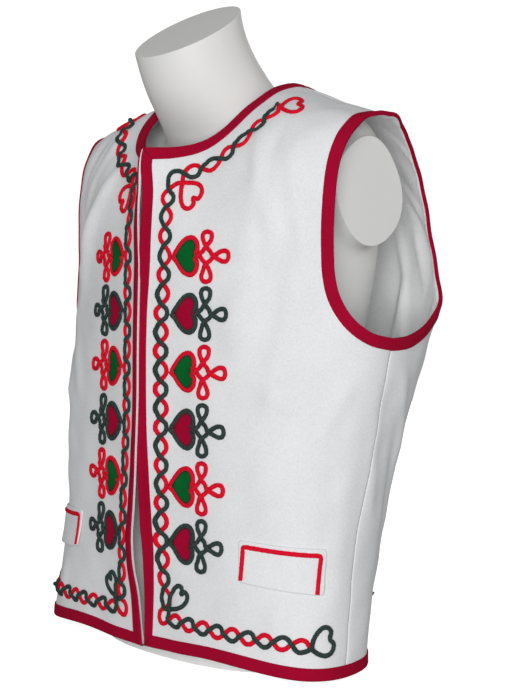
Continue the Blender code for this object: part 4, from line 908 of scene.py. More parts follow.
WHITE_WOOL = felt("white_wool", (0.86, 0.87, 0.88), (0.82, 0.83, 0.845), 0.94, 0.10)
LINING_CLOTH = felt("white_lining", (0.93, 0.935, 0.94), (0.91, 0.915, 0.925), 0.85, 0.05, 0.5)
CRIMSON_BRAID = felt("crimson_braid", (0.40, 0.003, 0.030), (0.35, 0.002, 0.026), 0.9, 0.0, 0.8, 0.06)
GREEN_FELT = felt("green_felt", (0.003, 0.150, 0.030), (0.002, 0.095, 0.018), 0.95, 0.0, 1.0, 0.06)
CRIMSON_FELT = felt("crimson_felt", (0.43, 0.003, 0.036), (0.33, 0.002, 0.027), 0.95, 0.0, 1.0, 0.06)
print("felts:", [m.name for m in bpy.data.materials if "felt" in m.name or "wool" in m.name])

# %% [markdown]
# ## Fronts, back and linings
# Each panel is an open shell with a Solidify modifier of the real cloth's thickness.
# That is simpler than modelling two faces and a rim, and it stays true when folds
# change. The linings lie one layer deeper. Where the back lining shows through the
# armholes it is wrinkled, as loose thin cotton is inside heavy wool.

# %% Panels
front_rows = np.flatnonzero(IS_FRONT)
back_rows = np.flatnonzero(~IS_FRONT)
both = {"left": False, "right": True}
for side, right in both.items():
    name = side + "_front"
    shell(name, tris_of(front_rows, right), 0.0, CLOTH, WHITE_WOOL)
back_tris = np.concatenate([tris_of(back_rows), tris_of(back_rows, True)])
shell("back", back_tris, 0.0, CLOTH, WHITE_WOOL)

# %% Linings
LINING_TOP = -(CLOTH + GAP)
FACING_WIDE = 0.048       # pattern a of the facing's edge
FACING_TOP = 0.53         # above this it only follows the neck
LINING_FROM = 0.235       # pattern b from which the lining of the back shows
near_neck = gap_to(CENTRES, neck_front) < BIND_WIDTH * 1.05
near_front = gap_to(CENTRES, front_edge) < BIND_WIDTH * 1.05
in_facing = (CENTRES[:, 0] < FACING_WIDE) & (CENTRES[:, 1] < FACING_TOP)
facing_rows = np.flatnonzero(IS_FRONT & (near_neck | near_front | in_facing))
for side, right in both.items():
    name = side + "_facing"
    shell(name, tris_of(facing_rows, right), LINING_TOP, LINING, LINING_CLOTH)
upper_rows = np.flatnonzero(~IS_FRONT & (CENTRES[:, 1] > LINING_FROM))
upper_tris = np.concatenate([tris_of(upper_rows), tris_of(upper_rows, True)])
# wrinkles of the lining: one end, other end on the pattern, half width, height
WRINKLES = (
    (0.425, 0.330, 0.490, 0.520, 0.0070, 0.0040),
    (0.445, 0.300, 0.520, 0.470, 0.0060, -0.0014),
    (0.420, 0.380, 0.480, 0.560, 0.0060, 0.0034),
    (0.415, 0.450, 0.500, 0.620, 0.0065, 0.0036),
    (0.410, 0.540, 0.460, 0.680, 0.0060, 0.0026),
    (0.470, 0.280, 0.550, 0.420, 0.0080, 0.0038),
    (0.405, 0.350, 0.445, 0.450, 0.0050, 0.0026),
    (0.510, 0.300, 0.570, 0.500, 0.0080, 0.0034),
    (0.400, 0.300, 0.470, 0.300, 0.0070, 0.0028),
    (0.455, 0.430, 0.540, 0.540, 0.0060, 0.0034),
    (0.480, 0.380, 0.530, 0.480, 0.0050, 0.0024),
)
WRINKLE_OUT = 0.0002      # the most that a wrinkle may come towards the wool
SEWN_OVER = 0.02          # the lining lies flat at its sewn edges and is loose from here on
wrinkle = np.maximum(fold(PATTERN[:, 0], PATTERN[:, 1], WRINKLES), -WRINKLE_OUT)
sewn_edge = np.concatenate([arm_back, shoulder_back[::-1], neck_back[::-1]])
wrinkle *= np.clip(gap_to(PATTERN, sewn_edge) / SEWN_OVER, 0, 1)
inward_shift = -np.concatenate([wrinkle, wrinkle])[:, None] * NORMAL
lining = shell("back_lining", upper_tris, LINING_TOP, LINING, LINING_CLOTH, inward_shift)

# %% [markdown]
# ## Bound edges
# The braid is folded over the raw edge and sewn down, so it is a flat band outside, a
# round lip at the edge and a short turn inside. One closed cross-section is carried
# along each edge. Its place is given by the share of the way from the band's inner
# line to the edge, or by the distance past the edge, with a height over the cloth.

# %% Cross-section of the braid
DEEP = CLOTH + GAP + LINING
# share of the band's width from its inner line, height over the cloth
BAND = ((0.00, 0.0003), (0.012, 0.0011), (0.07, 0.0017), (0.20, 0.0016), (0.50, 0.0016),
        (0.80, 0.0017), (0.95, 0.0018))
# distance past the edge, height: round the edge and back to the band's start
LIP = ((0.0006, 0.0015), (0.0012, 0.0007), (0.0014, -0.0006), (0.0014, -0.0026),
       (0.0012, -DEEP), (0.0003, -DEEP), (0.0003, 0.0002))
# down the front the braid only turns over the edge, and the white wall shows behind it
LIP_FRONT = ((0.0004, 0.0014), (0.0008, 0.0008), (0.0009, 0.0001), (0.0008, -0.0005),
             (0.0005, -0.0006), (0.0001, -0.0005), (0.0001, 0.0002))


def band_rings(edge, inner, lip, right):
    """One ring of points for each point of the edge."""
    rings = []
    p_edge, n_edge = cloth_at(edge[:, 0], edge[:, 1], right)
    p_inner, _ = cloth_at(inner[:, 0], inner[:, 1], right)
    past = (p_edge - p_inner) / BIND_WIDTH
    for share, height in BAND:
        spot = inner + (edge - inner) * share
        p, n = cloth_at(spot[:, 0], spot[:, 1], right)
        rings.append(p + n * height)
    for distance, height in lip:
        rings.append(p_edge + past * distance + n_edge * height)
    return np.stack(rings, axis=1)


BACK_FROM = 0.5           # pattern a past which a line ends at the centre back


def inner_line(line, left, start=None, end=None):
    """The band's inner line; its two ends may be given."""
    inner = line + inward(line, left) * BIND_WIDTH
    if line[:, 0].max() > BACK_FROM:
        inner[:, 0] = np.minimum(inner[:, 0], line[:, 0].max())
    run = run_along(line)
    if start is not None:
        inner[run < BIND_WIDTH] = start
    if end is not None:
        inner[run > run[-1] - BIND_WIDTH] = end
    return inner


def mitre(line_a, end_a, line_b, end_b):
    """Where the inner lines of two edges meet, both with the cloth on their left."""
    d1, d2 = inward(line_a, True)[end_a], inward(line_b, True)[end_b]
    at = line_a[end_a]
    by_a, by_b = slopes(at[None, 0], at[None, 1])
    v1, v2 = (by_a[0] * d[0] + by_b[0] * d[1] for d in (d1, d2))
    return at + BIND_WIDTH * (d1 + d2) / (1 + v1 @ v2)


neck_mitre = mitre(front_edge, 0, neck_front, -1)
hem_mitre = mitre(front_edge, -1, hem_front, 0)


def carried(chain, closed):
    """Joins rings into a tube of quads; an open one gets end caps."""
    rings, ring_size = len(chain), chain.shape[1]
    polygons = []
    for i in range(rings if closed else rings - 1):
        here, there = i * ring_size, (i + 1) % rings * ring_size
        for k in range(ring_size):
            m = (k + 1) % ring_size
            polygons.append((here + k, there + k, there + m, here + m))
    if not closed:
        polygons.append(tuple(range(ring_size)))
        polygons.append(tuple(range(rings * ring_size - 1, (rings - 1) * ring_size - 1, -1)))
    return chain.reshape(-1, 3), polygons


def follow(parts):
    """Puts chains of rings end to end; where two meet, they share a mean ring."""
    chain = parts[0]
    for part in parts[1:]:
        joint = (chain[-1] + part[0]) / 2
        chain = np.concatenate([chain[:-1], joint[None], part[1:]])
    return chain


def braid(name, parts, closed=False):
    """A band of braid from chains of rings, closed or with two free ends."""
    chain = follow(parts)
    if closed:
        joint = (chain[0] + chain[-1]) / 2
        chain = np.concatenate([joint[None], chain[1:-1]])
    else:
        for end, beside_it in ((0, 1), (-1, -2)):
            run = chain[beside_it] - chain[end]
            chain[end] += run / np.linalg.norm(run, axis=1)[:, None] * GAP / 2
    points, polygons = carried(chain, closed)
    piece = mesh_piece("vest_" + name, points, polygons, CRIMSON_BRAID)
    face_out(piece)
    stands_for(piece, name, "crimson_binding")


# %% The four kinds of bound edge
half_bands = {
    "front": (front_edge, inner_line(front_edge, True, neck_mitre, hem_mitre), LIP_FRONT),
    "neck_f": (neck_front, inner_line(neck_front, True, None, neck_mitre), LIP),
    "neck_b": (neck_back, inner_line(neck_back, True), LIP),
    "hem_f": (hem_front, inner_line(hem_front, True, hem_mitre), LIP),
    "hem_b": (hem_back, inner_line(hem_back, True), LIP),
    "arm_f": (arm_front, inner_line(arm_front, True), LIP),
    "arm_b": (arm_back, inner_line(arm_back, False), LIP),
}
chains = {(name, right): band_rings(*line, right)
          for name, line in half_bands.items() for right in (False, True)}
for right in (False, True):
    # where the two halves of the back meet, both lie in the middle plane
    chains["neck_b", right][0, :, 0] = chains["hem_b", right][-1, :, 0] = 0.0
for side, right in both.items():
    braid(side + "_front_binding", [chains["front", right]])
    braid(side + "_armhole_binding", [chains["arm_f", right], chains["arm_b", right][::-1]], True)
braid("neck_binding", [chains["neck_f", True][::-1], chains["neck_b", True][::-1],
                       chains["neck_b", False], chains["neck_f", False]])
braid("hem_binding", [chains["hem_f", False], chains["hem_b", False],
                      chains["hem_b", True][::-1], chains["hem_f", True][::-1]])
print("bound edges made from", len(BAND) + len(LIP), "points a ring")

# %% [markdown]
# ## Couched cords
# A couched cord is laid on the cloth and sewn down. Its path is a line on the pattern,
# and where it crosses another cord, or itself, it climbs over. The path is worked out
# first, with its rise, and then a soft half-round section is carried along it. Small
# seeded lumps in that section give the plush, slightly fuzzy cord of the real work.

# %% Cord materials
def plush(name, dark, light):
    """Plush yarn, with painted shade: dark in the hollows between its tufts and light on them."""
    found, nodes, links, shader = shader_material(name, light, 0.9)
    place = nodes.new("ShaderNodeTexCoord")
    tufts = noise(nodes, links, place, 850.0, 5.0, 0.75)
    # painted shade: the colour is dark where the tuft bump is low, between the tufts
    tint = ramp(nodes, links, tufts.outputs["Fac"], ((0.36, dark), (0.60, light)))
    links.new(tint.outputs["Color"], shader.inputs["Base Color"])
    fine = noise(nodes, links, place, 2200.0, 4.0, 0.7)
    below = bump(nodes, links, tufts.outputs["Fac"], 0.0006, 0.6)
    links.new(bump(nodes, links, fine.outputs["Fac"], 0.0002, 0.5, below), shader.inputs["Normal"])
    shader.inputs["Specular IOR Level"].default_value = 0.08
    return found


# each cord's first colour is its painted shade between the tufts
RED_CORD = plush("red_cord", (0.56, 0.003, 0.016), (0.86, 0.008, 0.034))
GREEN_CORD = plush("dark_green_cord", (0.012, 0.022, 0.020), (0.050, 0.078, 0.071))

# %% Laying a cord
LAY = 0.0004              # under what is sewn on the cloth
HOP = CORD_HIGH + 0.0004  # a cord that passes over another rises by this
CORD_STEP = 0.0009        # from ring to ring along a cord
ROUND = 9                 # points over the top of a cord
TUCKED = 0.25             # how far the section goes on under its widest points
CORD_SQUARE = 0.75        # below 1 the top is flatter than a half round
CORD_SINKS = 0.0006       # depth of its foot
LUMPS = 0.055             # unevenness of the plush, as a share
OWN_RUN = 0.013           # a cord passes over itself only this far further on
CLEAR, TOUCH = 0.0074, 0.0020   # gaps between which a cord starts to climb and is on top
RANDOM = np.random.default_rng(7)


def resample(rows, closed):
    """A smooth line through rows of (a, b), with points one cord step apart."""
    rows = np.array(rows, float)
    if closed:
        rows = np.concatenate([rows[-3:], rows, rows[:4]])
    first, last = (3, len(rows) - 4) if closed else (0, len(rows) - 1)
    line = np.stack(through(rows, np.linspace(first, last, 40 * len(rows))), axis=1)
    run = run_along(line)
    line = at_steps(line, run, int(round(run[-1] / CORD_STEP)))
    return line[:-1] if closed else line


def nearest(spot, line):
    """Distance from a spot to a line of rows, and the line's rise there."""
    gap = np.hypot(line[:, 0] - spot[0], line[:, 1] - spot[1])
    best = int(np.argmin(gap))
    return gap[best], line[best, 2]


def rises(line, below=None):
    """Rows (a, b, rise) of a cord over another cord and over its own earlier run."""
    path = np.concatenate([line, np.zeros((len(line), 1))], axis=1)
    own = int(round(OWN_RUN / CORD_STEP))
    for i in range(len(path)):
        for other in ([below] if below is not None else []) + ([path[:i - own]] if i > own + 2 else []):
            gap, under = nearest(path[i], other)
            share = np.clip((CLEAR - gap) / (CLEAR - TOUCH), 0, 1)
            path[i, 2] = max(path[i, 2], ease(share) * (under + HOP))
    soft = np.convolve(np.pad(path[:, 2], 2, mode="edge"), np.ones(5) / 5, mode="valid")
    path[:, 2] = np.maximum(soft, path[:, 2] * 0.9)
    return path


def lay_cord(path, right, closed, high=CORD_HIGH, base=LAY):
    """Rings of a plush cord along rows of (a, b, rise). The section bends with the cloth
    under it, so that both of its feet lie on the cloth."""
    spots, rise = path[:, :2], path[:, 2:] + base
    run = np.roll(spots, -1, axis=0) - np.roll(spots, 1, axis=0)
    if not closed:
        run[0], run[-1] = spots[1] - spots[0], spots[-1] - spots[-2]
    half = square_to(spots, run) * CORD_WIDTH / 2
    middle, normal = cloth_at(spots[:, 0], spots[:, 1], right)
    one, _ = cloth_at(*(spots + half).T, right)
    other, _ = cloth_at(*(spots - half).T, right)
    bend, lean = (one + other) / 2 - middle, (one - other) / 2
    rings = []
    for angle in np.linspace(-TUCKED, pi + TUCKED, ROUND):
        lump = 1 + LUMPS * RANDOM.standard_normal((len(spots), 1))
        s = cos(angle) * lump
        up = max(0.0, sin(angle)) ** CORD_SQUARE * high * lump - max(0.0, -sin(angle)) * CORD_SINKS
        rings.append(middle + lean * s + bend * s * s + normal * (rise + up))
    return np.stack(rings, axis=1)


def cord(name, path, surface, right, closed=False, **shape):
    """A cord piece in place of its solid."""
    points, polygons = carried(lay_cord(path, right, closed, **shape), closed)
    piece = mesh_piece("vest_" + name, points, polygons, surface)
    face_out(piece)
    stands_for(piece, name, slot_of(surface))


# %% The shapes that a cord draws
# Half of a heart's outline: along its axis from the point, across.
HEART = ((0.00, 0.00), (0.10, 0.26), (0.24, 0.56), (0.42, 0.83), (0.62, 0.985), (0.81, 0.96),
         (0.95, 0.74), (1.00, 0.47), (0.97, 0.22), (0.90, 0.00))


def placed(spot, angle, u, v):
    """Points given along and across an angle, from a spot on the pattern."""
    c, s = cos(angle), sin(angle)
    return np.stack([spot[0] + u * c - v * s, spot[1] + u * s + v * c], axis=1)


def heart(tip, angle, length, width, steps, first_side=1, notch=0.90):
    """A heart's line from its point all round and back to the point. The notch is at
    that share of the length, and the line starts on the first side (1 or -1)."""
    half = np.array(HEART)
    half[-1, 0] = notch
    outline = np.concatenate([half * (1, first_side), half[:0:-1] * (1, -first_side), half[:1]])
    u, v = through(outline, np.linspace(0, len(outline) - 1, 200))
    line = np.stack([u * length, v * width / 2], axis=1)
    return placed(tip, angle, *at_steps(line, run_along(line), steps).T)


def loop_out(start, angle, length, width, steps):
    """A drop-shaped loop that leaves a crossing and comes back to it."""
    t = np.linspace(0, 2 * pi, steps + 1)
    return placed(start, angle, length * np.sin(t / 2), width / 2 * np.sin(t))


MOTIF_TIP = 0.0420        # pattern a of the heart's point
MOTIF_MIDDLE = 0.0850     # and of the diamond's middle
DIAMOND = 0.0098          # from the diamond's middle to a corner
HEART_LENGTH = 0.0312
HEART_WIDTH = 0.0420
TREFOIL_LOOP = 0.0185     # length of a loop
TREFOIL_WIDE = 0.0125
UP_SCALE = 0.80           # pattern b per metre of height, just above the chest
NEAR_CHEST = 0.012        # a motif is squeezed by that if it is this near


def up_the_pattern(height):
    """Pattern b of a height on the front."""
    return height if height < CHEST else CHEST + (height - CHEST) * UP_SCALE


def squeezed(b0, v):
    """A motif's own height v, squeezed where it goes on over the chest."""
    return b0 + v * np.where((v > 0) & (b0 > CHEST - NEAR_CHEST), UP_SCALE, 1.0)


def motif_path(a0, b0):
    """One cord: round the heart, through a diamond and three loops, over itself
    at the four corners of the diamond. Rows of (a, b)."""
    mid = MOTIF_MIDDLE - MOTIF_TIP
    turn_in = np.array([0.0042, 0.0034])   # from the diamond's corner to the heart's notch
    west = np.array([mid - DIAMOND, 0.0])
    south = np.array([mid, -DIAMOND])
    east = np.array([mid + DIAMOND, 0.0])
    north = np.array([mid, DIAMOND])
    outline = heart((0.0, 0.0), 0.0, HEART_LENGTH, HEART_WIDTH, 14)
    rows = [(0.0, 0.0), *outline[1:7], west + turn_in * (-1, 1), west, (west + south) / 2, south]
    for corner, after, angle in ((south, east, -pi / 2), (east, north, 0.0), (north, west, pi / 2)):
        rows += [*loop_out(corner, angle, TREFOIL_LOOP, TREFOIL_WIDE, 6)[1:-1], corner]
        rows += [(corner + after) / 2, after][:1 if after is west else 2]
    rows += [west, west - turn_in, *outline[8:-1]]
    u, v = np.array(rows).T
    return np.stack([a0 + u, squeezed(b0, v)], axis=1)


# %% Where the plaits run
# The middle line of the plait down the front: b, a.
PLAIT_MIDDLE = ((0.045, 0.0375), (0.090, 0.0325), (0.135, 0.0308), (0.220, 0.0300),
                (0.300, 0.0285), (0.380, 0.0280), (0.440, 0.0298), (0.500, 0.0290))
# Crossings along the neckline from the shoulder, (a, b).
NECK_CROSSINGS = ((0.1275, 0.6150), (0.1208, 0.5932), (0.1112, 0.5724), (0.0983, 0.5547),
                  (0.0834, 0.5392), (0.0632, 0.5277), (0.0428, 0.5200))
# Points of the open hearts, which the cords draw in passing.
SHOULDER_TIP = NECK_CROSSINGS[0]
CORNER_TIP = (0.0430, 0.5095)
BOTTOM_TIP = (0.0450, 0.0455)
HEM_TIP = (0.2255, 0.0245)
HEM_CROSSINGS = [(0.0440 + 0.0202 * k, 0.0335 - 0.0006 * k) for k in range(9)] + [HEM_TIP]
FRONT_CROSSINGS = 23      # three for each heart of the front, and some beyond
FULL_SWING = 0.92         # share of the swing that the drawn points take


def front_crossings():
    """Crossings down the front, (a, b)."""
    heights = [TOP_HEART + (3.5 - k) * MOTIF_PITCH / 3 for k in range(FRONT_CROSSINGS)]
    rows = [up_the_pattern(height) for height in heights]
    return [(float(curve(PLAIT_MIDDLE, b)), b) for b in rows]


def weave(crossings, first):
    """Rows (a, b) through crossings; `first` is the side of the first swing and the
    swings take turns."""
    rows = []
    spots = np.array(crossings)
    for k, (p, q) in enumerate(zip(spots, spots[1:])):
        run = q - p
        across = np.array([-run[1], run[0]]) / np.linalg.norm(run)
        sign = first * (1 if k % 2 == 0 else -1)
        rows.append(tuple(p))
        swing = across * sign * PLAIT_SWING * FULL_SWING
        rows += [tuple(p + run * t + swing) for t in (1 / 3, 2 / 3)]
    return rows + [tuple(spots[-1])]


def open_heart(*shape, **more):
    """Rows of a heart that a cord draws, up to its point again."""
    return heart(*shape, **more)[:-1].tolist()


def plaits(side, right):
    """The two cords of one side, the second laid over the first."""
    down = front_crossings()
    # red: heart on the shoulder, neck, heart in the corner, front, round the corner, hem
    red = open_heart(SHOULDER_TIP, 0.62, 0.0250, 0.0430, 15, notch=0.78)
    red += weave(NECK_CROSSINGS, 1)
    red += open_heart(CORNER_TIP, -0.66, 0.0265, 0.0275, 14, -1, notch=0.80)
    red += [CORNER_TIP, (0.0365, 0.5085)] + weave(down, -1)
    red += [(0.0300, 0.0425), (0.0272, 0.0355), (0.0305, 0.0280), (0.0375, 0.0285)]
    red += weave(HEM_CROSSINGS, 1)
    # green: neck, round the corner, front, heart in the corner, hem, heart at its end
    green = weave(NECK_CROSSINGS, -1)
    green += [(0.0365, 0.5215), (0.0300, 0.5195), (0.0268, 0.5130)] + weave(down, 1)
    green += open_heart(BOTTOM_TIP, 0.92, 0.0300, 0.0225, 14, -1, notch=0.80)
    green += [BOTTOM_TIP, (0.0442, 0.0395)] + weave(HEM_CROSSINGS, -1)[:-1]
    green += open_heart(HEM_TIP, 0.33, 0.0262, 0.0305, 15, notch=0.82) + [HEM_TIP]
    red = rises(resample(red, False))
    green = rises(resample(green, False), below=red)
    cord(side + "_plait_red", red, RED_CORD, right)
    cord(side + "_plait_green", green, GREEN_CORD, right)
    return len(red) * CORD_STEP, len(green) * CORD_STEP


for side, right in both.items():
    long = plaits(side, right)
    print(side, "plait: red", round(long[0], 2), "m, green", round(long[1], 2), "m on the pattern")

# %% [markdown]
# ## Hearts of cut felt
# Inside each corded heart lies a small felt heart, held by dark zigzag stitches. It is
# a fan of rings from the rim to the middle, so its rim can drop to the cloth and its
# top can stay flat, with fine creases out of the point.

# %% Felt hearts and their stitches
FELT = 0.0012             # height of the felt over the cloth
FELT_WALL = 0.0006
RIM_STEPS = 132           # points round a felt heart
STITCHES = 76             # points of the zigzag round it
UNDER_CORD = 0.0012       # how far the felt reaches under the cord
ZIG, ZAG = 0.00070, -0.00075
THREAD_HALF = 0.00062
THREAD = shader_material("dark_thread", (0.030, 0.010, 0.012), 0.9)[0]
# Rings of the fan: share of the way out, share of the felt's height.
FAN = ((1.0, 0.35), (0.985, 0.85), (0.93, 1.0), (0.86, 1.0), (0.76, 1.0), (0.64, 1.0),
       (0.50, 1.0), (0.36, 1.0), (0.22, 1.0), (0.10, 1.0))
CREASE_ANGLES = (-0.42, -0.12, 0.16, 0.46)
CREASE_HALF = 0.00050
CREASE_DEEP = 0.00060
CREASE_ENDS = 0.020       # distance from the point


def rim_of(steps, inset):
    """The heart's outline, drawn in by a distance, and its inward directions."""
    outline = heart((0.0, 0.0), 0.0, HEART_LENGTH, HEART_WIDTH, steps)[:-1]
    run = np.roll(outline, -1, axis=0) - np.roll(outline, 1, axis=0)
    square = np.stack([run[:, 1], -run[:, 0]], axis=1)
    square /= np.linalg.norm(square, axis=1)[:, None]
    rim = outline + square * inset
    # where the inset line would cross itself it keeps to the heart's own axis
    half = len(rim) // 2
    rim[:half, 1] = np.maximum(rim[:half, 1], 0.0004)
    rim[half + 1:, 1] = np.minimum(rim[half + 1:, 1], -0.0004)
    return rim, square


def felt_rim():
    """The felt's rim. At the notch it reaches under the two cords that leave there."""
    rim, _ = rim_of(RIM_STEPS, CORD_WIDTH / 2 - UNDER_CORD)
    in_notch = (rim[:, 0] > HEART_LENGTH / 2) * np.clip(1 - np.abs(rim[:, 1]) / 0.0050, 0, 1)
    rim[:, 0] += 0.0030 * in_notch
    return rim


def felt_heart(name, a0, b0, surface, right):
    """A felt heart with its point at (a0, b0), and the stitches round it."""
    def on_cloth(spots):
        u, v = spots.T
        return cloth_at(a0 + u, squeezed(b0, v), right)

    rim = felt_rim()
    centre = np.array([HEART_LENGTH / 2, 0.0])
    rings = []
    for share, lift in FAN:
        spots = centre + (rim - centre) * share
        spots[:, 0] = np.maximum(spots[:, 0], 0.0014)
        angle = np.arctan2(spots[:, 1], spots[:, 0])
        reach = np.hypot(*spots.T)
        crease = sum(np.exp(-((angle - way) * reach / CREASE_HALF) ** 2) for way in CREASE_ANGLES)
        crease = crease * np.clip((CREASE_ENDS - reach) / 0.006, 0, 1) * (share < 0.95)
        p, n = on_cloth(spots)
        rings.append(p + n * (LAY + FELT * lift - CREASE_DEEP * crease)[:, None])
    p, n = on_cloth(centre[None])
    count, last = len(rim), (len(FAN) - 1) * len(rim)
    points = np.concatenate(rings + [p + n * (LAY + FELT)])
    polygons = []
    for first in range(0, last, count):
        for i in range(count):
            j = (i + 1) % count
            polygons.append((first + i, first + j, first + count + j, first + count + i))
    polygons += [(last + i, last + (i + 1) % count, len(points) - 1) for i in range(count)]
    piece = mesh_piece("vest_" + name, points, polygons, surface)
    make_thick(piece, FELT_WALL)
    face_out(piece, Vector(n[0]))
    stands_for(piece, name, slot_of(surface))
    # dark zigzag thread over the rim
    rim, square = rim_of(STITCHES, CORD_WIDTH / 2 + 0.0006)
    zigzag = np.where(np.arange(len(rim)) % 2 == 0, ZIG, ZAG)[:, None]
    p, n = on_cloth(rim + square * zigzag)
    points, polygons = carried(thread_ring(p + n * (LAY + FELT + 0.0001), n, THREAD_HALF), True)
    stitch = mesh_piece("vest_%s_stitches" % name, points, polygons, THREAD)
    face_out(stitch)


def thread_ring(p, n, half):
    """Four points round each point of a closed thread."""
    run = np.roll(p, -1, axis=0) - np.roll(p, 1, axis=0)
    side_way = np.cross(n, run)
    side_way /= np.linalg.norm(side_way, axis=1)[:, None]
    return np.stack([p + side_way * half, p + n * half, p - side_way * half, p - n * half], axis=1)


def motif(cord_name, heart_name, spot, outline, fill, right):
    """A cord round its heart and on into the trefoil, with the felt inside."""
    cord(cord_name, rises(resample(motif_path(*spot), True)), outline, right, True)
    felt_heart(heart_name, *spot, fill, right)


for side, right in both.items():
    for k in range(HEARTS):
        spot = (MOTIF_TIP, up_the_pattern(TOP_HEART - k * MOTIF_PITCH))
        outline, fill = ((RED_CORD, GREEN_FELT), (GREEN_CORD, CRIMSON_FELT))[k % 2]
        motif("%s_motif_%d" % (side, k + 1), "%s_heart_%d" % (side, k + 1), spot, outline, fill, right)
    motif(side + "_back_motif", side + "_back_heart", BACK_MOTIF, GREEN_CORD, CRIMSON_FELT, right)
print("hearts:", 2 * HEARTS + 2)

# %% [markdown]
# ## Pocket flaps
# The flap is a doubled piece of the same wool, turned at its edges, sewn along the top
# and free below, where it stands a little off the cloth. A grid between its four
# corners is lifted from the cloth, with a rounded rim, and closed by a lower face.

# %% Flaps and their cord
FLAP = np.array(((0.1385, 0.0885), (0.2340, 0.0790), (0.2350, 0.1280), (0.1340, 0.1340)))
FLAP_WIDE, FLAP_TALL = 0.0965, 0.0480
FLAP_THICK = 0.0022
FLAP_STANDS = 0.0022      # how far the free edge stands off
FLAP_RIM = 0.0022         # radius of the turned edge
CORNER_CUT = 0.0045       # rounding of its corners
LONG, SHORT = 72, 40      # points of the grid along and up
# Corners of the line that the cord follows, from the corners of the flap.
CORD_INSET = ((0.0030, 0.0006), (0.0072, -0.0068), (-0.0072, -0.0068), (-0.0078, -0.0004))
FLAP_CORD_HIGH = 0.0016


def flap_spot(s, t):
    """Pattern point of a flap at shares along and up."""
    s, t = np.atleast_1d(s)[:, None], np.atleast_1d(t)[:, None]
    low = FLAP[0] * (1 - s) + FLAP[1] * s
    top = FLAP[3] * (1 - s) + FLAP[2] * s
    return low * (1 - t) + top * t


def flap_lift(t):
    """Height of the flap's underside over the cloth at a share up."""
    return LAY + FLAP_STANDS * (1 - t) ** 1.6


def closer_at_ends(count):
    """Shares from 0 to 1 that lie closer together at both ends."""
    t = np.linspace(0, 1, count)
    return 0.5 - 0.5 * np.cos(pi * t) * (1 - 0.35 * np.sin(pi * t) ** 2)


def pocket_flap(side, right):
    """A flap with rounded corners and a turned rim, and the cord that is sewn on it."""
    s, t = np.meshgrid(closer_at_ends(LONG), closer_at_ends(SHORT))
    x, y = (s.ravel() - 0.5) * FLAP_WIDE, (t.ravel() - 0.5) * FLAP_TALL
    # the grid's corners are pulled in on to rounded ones
    inner_x, inner_y = FLAP_WIDE / 2 - CORNER_CUT, FLAP_TALL / 2 - CORNER_CUT
    over = np.stack([np.maximum(np.abs(x) - inner_x, 0), np.maximum(np.abs(y) - inner_y, 0)], axis=1)
    far = np.hypot(*over.T)
    pull = np.where((over.min(axis=1) > 0), over.max(axis=1) / np.maximum(far, 1e-9), 1.0)
    x = np.sign(x) * (np.minimum(np.abs(x), inner_x) + over[:, 0] * pull)
    y = np.sign(y) * (np.minimum(np.abs(y), inner_y) + over[:, 1] * pull)
    to_side = np.minimum(FLAP_WIDE / 2 - np.abs(x), FLAP_TALL / 2 - np.abs(y))
    to_rim = np.minimum(to_side, CORNER_CUT - far * pull + 1e-4)
    round_off = np.sqrt(1 - (1 - np.clip(to_rim / FLAP_RIM, 0, 1)) ** 2)
    spots = flap_spot(x / FLAP_WIDE + 0.5, y / FLAP_TALL + 0.5)
    p, n = cloth_at(*spots.T, right)
    base = flap_lift(y / FLAP_TALL + 0.5)
    top = p + n * (base + FLAP_THICK * (0.35 + 0.65 * round_off))[:, None]
    under = p + n * (base + FLAP_THICK * 0.25 * (1 - round_off))[:, None]
    count = LONG * SHORT
    polygons = []
    for j in range(SHORT - 1):
        for i in range(LONG - 1):
            a = j * LONG + i
            quad = (a, a + 1, a + LONG + 1, a + LONG)
            polygons += [quad, tuple(q + count for q in quad[::-1])]
    edge = list(range(LONG)) + [j * LONG + LONG - 1 for j in range(1, SHORT)]
    edge += [count - 1 - i for i in range(1, LONG)] + [j * LONG for j in range(SHORT - 2, 0, -1)]
    for a, b in zip(edge, edge[1:] + edge[:1]):
        polygons.append((a, a + count, b + count, b))
    piece = mesh_piece("vest_%s_pocket_flap" % side, np.concatenate([top, under]), polygons, WHITE_WOOL)
    face_out(piece)
    stands_for(piece, side + "_pocket_flap", "white_wool")
    # the cord goes up one side, along the top and down the other side
    ends = FLAP[[0, 3, 2, 1]] + CORD_INSET
    rows = []
    for p, q, count in zip(ends, ends[1:], (6, 13, 6)):
        rows += [p + (q - p) * t for t in np.linspace(0.04, 0.96, count)]
    line = resample(rows, False)
    low = np.interp(line[:, 0], *FLAP[[0, 1]].T)
    top = np.interp(line[:, 0], *FLAP[[3, 2]].T)
    up = np.clip((line[:, 1] - low) / (top - low), 0, 1)
    path = np.concatenate([line, (flap_lift(up) + FLAP_THICK)[:, None]], axis=1)
    cord(side + "_flap_cord", path, RED_CORD, right, high=FLAP_CORD_HIGH, base=-0.0001)
    return piece


for side, right in both.items():
    pocket_flap(side, right)
print("flaps", FLAP_WIDE * 1000, "x", FLAP_TALL * 1000, "mm")

# %% [markdown]
# ## The dress form
# The form is one smooth shell: torso, neck and two arm stumps grown together. Building
# them as rough stacks of rings, joining them with a voxel remesh and smoothing the
# result gives soft transitions without drawing them. The neck and the stumps are then
# cut flat, and the cut edges get a small bevel, as on a moulded form.

# %% Form tables
FORM_BASE = 0.0250
STUMP_X = 0.1935
